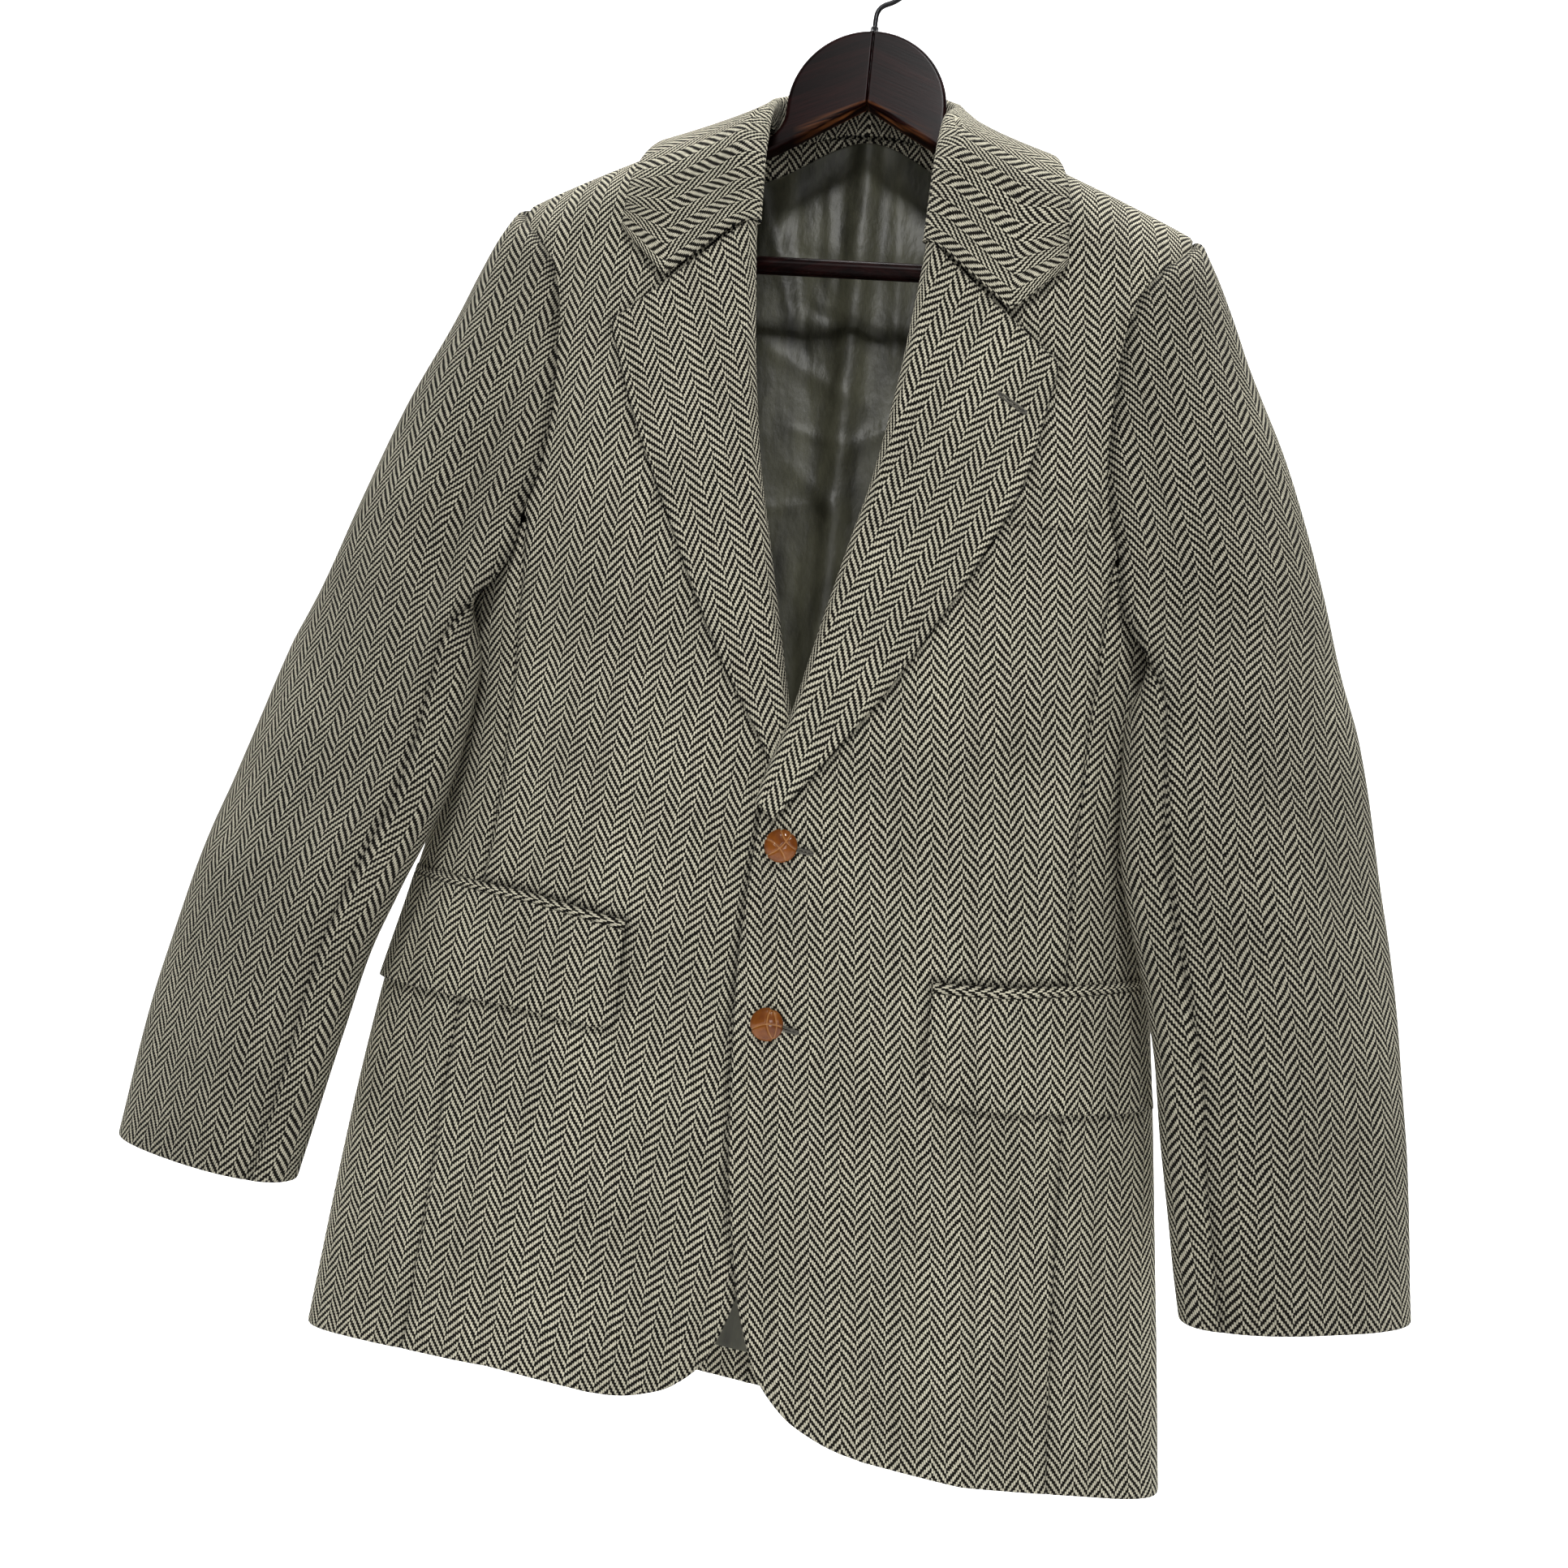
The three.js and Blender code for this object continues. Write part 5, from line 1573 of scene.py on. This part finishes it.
def on_cloth(x, height, rise):
    """A hung point on the left front, with its creases; rise is the distance from the front's outside."""
    at = lifted_front(np.asarray(x, float), np.asarray(height, float), rise, True)
    toward = np.broadcast_to(np.array([0.0, -1.0, 0.0]), at.shape)
    at = at + toward * body_rise(at, toward)[..., None]
    return hang(at, 1) + np.array([0, 0, HANGER_TOP])


def button(name, seat, spin, bow, offset, replaced):
    """The dome's seams are three arcs; spin turns them, bow bends them and offset moves them."""
    rim_heights = [SHANK_LENGTH + rise for rise in (0, 0.35, 0.9, RIM_HEIGHT)]
    rim_radii = [BUTTON_RADIUS * share for share in (0.86, 0.93, 0.98, 1)]
    heights = [0, 0, SHANK_LENGTH, *rim_heights]
    radii = [0.4, SHANK_RADIUS, SHANK_RADIUS, *rim_radii]
    angles = np.linspace(0, np.pi / 2, 34)[1:-1]
    radii = np.concatenate([radii, BUTTON_RADIUS * np.cos(angles), [0.15]])
    domed = SHANK_LENGTH + RIM_HEIGHT + (BUTTON_HEIGHT - RIM_HEIGHT) * np.sin(angles)
    heights = np.concatenate([heights, domed, [SHANK_LENGTH + BUTTON_HEIGHT]])
    turn = np.linspace(0, 2 * np.pi, 112, endpoint=False)
    x, z = radii[:, None] * np.cos(turn), radii[:, None] * np.sin(turn)
    c, s = math.cos(math.radians(spin)), math.sin(math.radians(spin))
    p, q = x * c + z * s - offset[0], z * c - x * s - offset[1]
    gaps = [
        np.abs(q - bow * p**2),
        np.abs(p + 1.2 * bow * q**2),
        np.abs(p - 5.6 - bow * q**2) + 0.15 * (q < -1),
    ]
    seam = np.max([np.exp(-((gap / SEAM_WIDTH) ** 2)) for gap in gaps], axis=0)
    seam = seam * (heights[:, None] > SHANK_LENGTH + 0.2)
    pressed = 1 - SEAM_DEPTH * seam / np.maximum(np.hypot(radii, heights - SHANK_LENGTH)[:, None], 1)
    y = -(SHANK_LENGTH + (heights[:, None] - SHANK_LENGTH) * np.where(seam > 0, pressed, 1))
    y = np.where(heights[:, None] <= SHANK_LENGTH, -heights[:, None], y)
    rings = point(x * pressed, y, z * pressed) + seat
    mesh = grid_mesh(name, rings)
    write_on_points(mesh, "seam", clamp(seam * 1.7 - 0.55))
    place(name, mesh, LEATHER, "leather", [replaced])
    print(f"{name}: {len(mesh.polygons)} faces")


def buttonhole(name, start, end, rise):
    """Thread worked round a slit from start to end, each given as x and height."""
    start, end = np.array(start, float), np.array(end, float)
    length = np.linalg.norm(end - start)
    along = (end - start) / length
    beside = np.array([-along[1], along[0]])
    t = np.linspace(0, 2 * np.pi, 240, endpoint=False)
    stretched = np.sign(np.cos(t)) * np.abs(np.cos(t)) ** 0.45
    narrow = np.sin(t) * (0.85 + 0.5 * clamp((0.25 - np.abs(t - np.pi)) / 0.25))
    flat = (start + end) / 2 + stretched[:, None] * along * length / 2 + narrow[:, None] * beside
    rows = on_cloth(flat[:, 0], flat[:, 1], rise)
    stitches = 0.62 + 0.13 * np.sin(t * 26)
    place(name, tube(name, rows, stitches, 8, loop=True), THREAD, "tweed", [])
    print(f"{name}: {round(length)} mm slit")


BUTTONS = {
    "upper": (-516, 2, 44, 0.025, (-1.2, -1)),
    "lower": (-617, 3, 8, -0.03, (0.6, 0.4)),
}
for label, (height, x, spin, bow, offset) in BUTTONS.items():
    button(f"leather_button_{label}", on_cloth(x, height, 0.2), spin, bow, offset, f"button_{label}")
    buttonhole(f"buttonhole_{label}", (x + 7.5, height - 0.6), (x + 18, height - 1.6), 0.25)
LAPEL_HOLE_RISE = LAPEL_EDGE_RISE + 0.6
buttonhole("buttonhole_lapel", (98, -243), (115, -254), LAPEL_HOLE_RISE)

# %% [markdown]
# ## Hanger
#
# Two flat arms of dark wood meet at the middle, where they were glued. A round bar for trousers joins their
# ends. The arms' outline is drawn once, its corners are rounded, and rings stacked across the wood's
# thickness round its edges too.

# %% Wooden arms and bar
HANGER_THICK = 12
ARCH_RADIUS = 50.5
ARM_END = 197
ARM_BLOCK = 172
ARM_BOTTOM = -160
ARM_CLEARANCE = 1.3
UNDER_APEX = -47
UNDER_BEND = (55, -79)
UNDER_END = -139
BAR_RADIUS = 5.5
BAR_HEIGHT = -152
EDGE_ROUND = 2.2
GLUE_GAP = 0.15


def rounded_outline(corners, spacing=1.6):
    """Corners are (x, z, radius). Each one is cut by a smooth bend that starts a radius away from it."""
    corners = np.array(corners, float)
    places, reach = corners[:, :2], corners[:, 2]
    outline = []
    for i in range(len(places)):
        before, here, after = places[i - 1], places[i], places[(i + 1) % len(places)]
        start = here + unit(before - here) * min(reach[i], np.linalg.norm(before - here) * 0.49)
        end = here + unit(after - here) * min(reach[i], np.linalg.norm(after - here) * 0.49)
        t = np.linspace(0, 1, 7)[:, None]
        outline.append((1 - t) ** 2 * start + 2 * t * (1 - t) * here + t**2 * end)
    line = np.concatenate(outline)
    line = np.concatenate([line, line[:1]])
    return evenly(line, round(lengths_along(line)[-1] / spacing), closed=True)


def arm_top(x):
    return shoulder_line(x) - CLOTH - ARM_CLEARANCE


def arm_corners():
    arch = [(ARCH_RADIUS * math.sin(a), -ARCH_RADIUS + ARCH_RADIUS * math.cos(a), 5)
            for a in np.radians(np.arange(8, 91, 9))]
    return [
        (GLUE_GAP, UNDER_APEX, 0.6), (GLUE_GAP, 0, 0.6), *arch,
        (ARCH_RADIUS, -ARCH_RADIUS - 10, 6), (NECK_SIDE - 3, float(arm_top(NECK_SIDE)) - 3, 6),
        (NECK_SIDE + 9, float(arm_top(NECK_SIDE + 9)), 6), (ARM_END - 8, float(arm_top(ARM_END - 8)), 6),
        (ARM_END, float(arm_top(ARM_END)) - 9, 5), (ARM_END, ARM_BOTTOM + 8, 5),
        (ARM_END - 7, ARM_BOTTOM, 5), (ARM_BLOCK, ARM_BOTTOM, 3), (ARM_BLOCK, UNDER_END, 4),
        (*UNDER_BEND, 14),
    ]


def slab(outline, thickness):
    """A board of this outline, in x and height, with rounded edges."""
    ahead = unit(np.roll(outline, -1, 0) - np.roll(outline, 1, 0))
    inward = np.stack([ahead[:, 1], -ahead[:, 0]], -1)
    quarter = np.radians(np.linspace(0, 90, 6))
    insets = np.concatenate([[EDGE_ROUND * 1.35], EDGE_ROUND * (1 - np.sin(quarter))])
    depths = thickness / 2 - np.concatenate([[0], EDGE_ROUND * (1 - np.cos(quarter))])
    insets = np.concatenate([insets, insets[::-1]])
    depths = np.concatenate([-depths, depths[::-1]])
    near_glue = 1 - clamp((1.5 - np.abs(outline[:, 0])) / 1.5) * 0.7
    rings = []
    for inset, depth in zip(insets, depths):
        flat = outline + inward * (inset * near_glue)[:, None]
        flat[:, 0] = np.where(outline[:, 0] > 0, np.maximum(flat[:, 0], GLUE_GAP), flat[:, 0])
        rings.append(point(flat[:, 0], depth, flat[:, 1]))
    return np.array(rings)


for label, side in SIDES.items():
    rings = slab(rounded_outline(arm_corners()), HANGER_THICK) * np.array([side, 1, 1])
    rings = (rings if side < 0 else rings[:, ::-1]) + np.array([0, 0, HANGER_TOP])
    name = f"hanger_wood_{label}"
    place(name, grid_mesh(name, rings), WOOD, "wood", [f"hanger_arm_{label}"])

bar_length = np.linspace(-ARM_BLOCK + GLUE_GAP, ARM_BLOCK - GLUE_GAP, 140)
bar_ends = clamp((ARM_BLOCK - np.abs(bar_length)) / 0.6) ** 0.5
bar_path = point(bar_length, 0, BAR_HEIGHT + HANGER_TOP)
place("hanger_bar", tube("hanger_bar", bar_path, BAR_RADIUS * (0.93 + 0.07 * bar_ends), 28), WOOD, "wood",
      ["trouser_bar"])
print("hanger arms and bar made")

# %% [markdown]
# ## Hook
#
# The hook is one bent wire. It rises from a small ferrule, turns and runs round three quarters of a circle.
# Here it passes through the frame's origin, which is where it hangs.

# %% Ferrule and hook
HOOK_RADIUS = 22
HOOK_SHANK = 19
WIRE_RADIUS = 1.6
FERRULE_FOOT = 0.3
FERRULE_TOP = 4.5


def hook_path():
    centre = HOOK_SHANK + HOOK_RADIUS
    angles = np.radians(np.arange(-76, 201, 4))
    bend = [[0, FERRULE_TOP - 1.5], [0, 6], [0, 9], [0.3, 13.5], [2, 17.4]]
    circle = np.stack([HOOK_RADIUS * np.cos(angles), centre + HOOK_RADIUS * np.sin(angles)], -1)
    rough = np.concatenate([bend, circle])
    line = evenly(rough, 190)
    for _ in range(6):
        line[1:-1] = (line[:-2] + 2 * line[1:-1] + line[2:]) / 4
    return line


wire = hook_path()
wire_path = point(wire[:, 0], 0, wire[:, 1] + HANGER_TOP)
from_tip = np.linalg.norm(wire_path - wire_path[-1], axis=1)
tip = np.sqrt(1 - (1 - clamp(from_tip / WIRE_RADIUS)) ** 2) * 0.92 + 0.08
place("hook_wire", tube("hook_wire", wire_path, WIRE_RADIUS * tip, 20), STEEL, "metal", ["hook"])
ferrule_profile = [
    (0.5, FERRULE_FOOT), (3.0, FERRULE_FOOT), (3.2, 0.5), (3.15, 1.0), (2.75, 1.4),
    (2.6, 3.6), (2.5, 4.3), (2.2, FERRULE_TOP), (0.5, FERRULE_TOP),
]
turns = np.linspace(0, 2 * np.pi, 48, endpoint=False)
rings = [point(r * np.cos(turns), r * np.sin(turns), z + HANGER_TOP) for r, z in ferrule_profile]
place("hook_ferrule_ring", grid_mesh("hook_ferrule_ring", np.array(rings)), STEEL, "metal", ["hook_ferrule"])
print("hook made")

# %% [markdown]
# ## Studio
#
# The jacket hangs in front of a pale sweep, which has a light of its own. A small key light from above draws
# the folds, and weak lights in front, behind and all round keep their shadows open.

# %% Sweep and lights
PALE = (0.86, 0.86, 0.86, 1)
PALER = (0.9, 0.9, 0.9, 1)
SWEEP_WIDTH = 9.0


def make_sweep():
    finish = Finish("pale_sweep", Roughness=1.0, Specular_IOR_Level=0.0)
    cloudy = finish.noise(finish.places(), 0.5, 1)
    finish.colour(finish.mix(cloudy, PALE, PALER))
    angles = np.radians(np.linspace(-90, 0, 25))
    bend = [(1.2 + 1.3 * math.cos(a), 0.05 + 1.3 * math.sin(a)) for a in angles]
    profile = [(-4.0, -1.25), *bend, (2.5, 5.0)]
    places = [(x, y, z) for y, z in profile for x in (-SWEEP_WIDTH, SWEEP_WIDTH)]
    faces = [(2 * i, 2 * i + 1, 2 * i + 3, 2 * i + 2) for i in range(len(profile) - 1)]
    mesh = bpy.data.meshes.new("sweep")
    mesh.from_pydata(places, [], faces)
    mesh.polygons.foreach_set("use_smooth", np.ones(len(faces), bool))
    mesh.materials.append(finish.material)
    sweep = bpy.data.objects.new("sweep", mesh)
    bpy.context.scene.collection.objects.link(sweep)


def light(name, place_at, aim, size, power):
    data = bpy.data.lights.new(name, "AREA")
    data.shape = "RECTANGLE"
    data.size, data.size_y = size
    data.energy = power
    made = bpy.data.objects.new(name, data)
    bpy.context.scene.collection.objects.link(made)
    made.location = place_at
    made.rotation_euler = (Vector(aim) - Vector(place_at)).to_track_quat("-Z", "Y").to_euler()


make_sweep()
MIDDLE = (0, 0, -0.5)
light("key", (0.15, -1.9, 1.05), MIDDLE, (0.4, 0.4), 36)
light("fill", (0.2, -2.4, -0.6), MIDDLE, (0.6, 0.6), 8)
light("back_fill", (0.6, 2.1, 0.9), MIDDLE, (1.6, 1.6), 12)
light("sweep_light", (0, 0.5, 2.6), (0, 2.4, -0.4), (4.5, 1.2), 300)
bpy.context.scene.view_settings.view_transform = "Standard"
world = bpy.data.worlds.new("studio")
world.use_nodes = True
world.node_tree.nodes["Background"].inputs["Color"].default_value = (1, 1, 1, 1)
world.node_tree.nodes["Background"].inputs["Strength"].default_value = 0.1
bpy.context.scene.world = world
print("studio ready")

# %% [markdown]
# Every cloth piece was flat once. These are rounded estimates of its cut, as far as it shows: the width and
# length of the rectangle round it, and the area of the cut inside, in metres and square metres.


# %% [markdown]
# ## Done

# %% Finish
print("scene built")
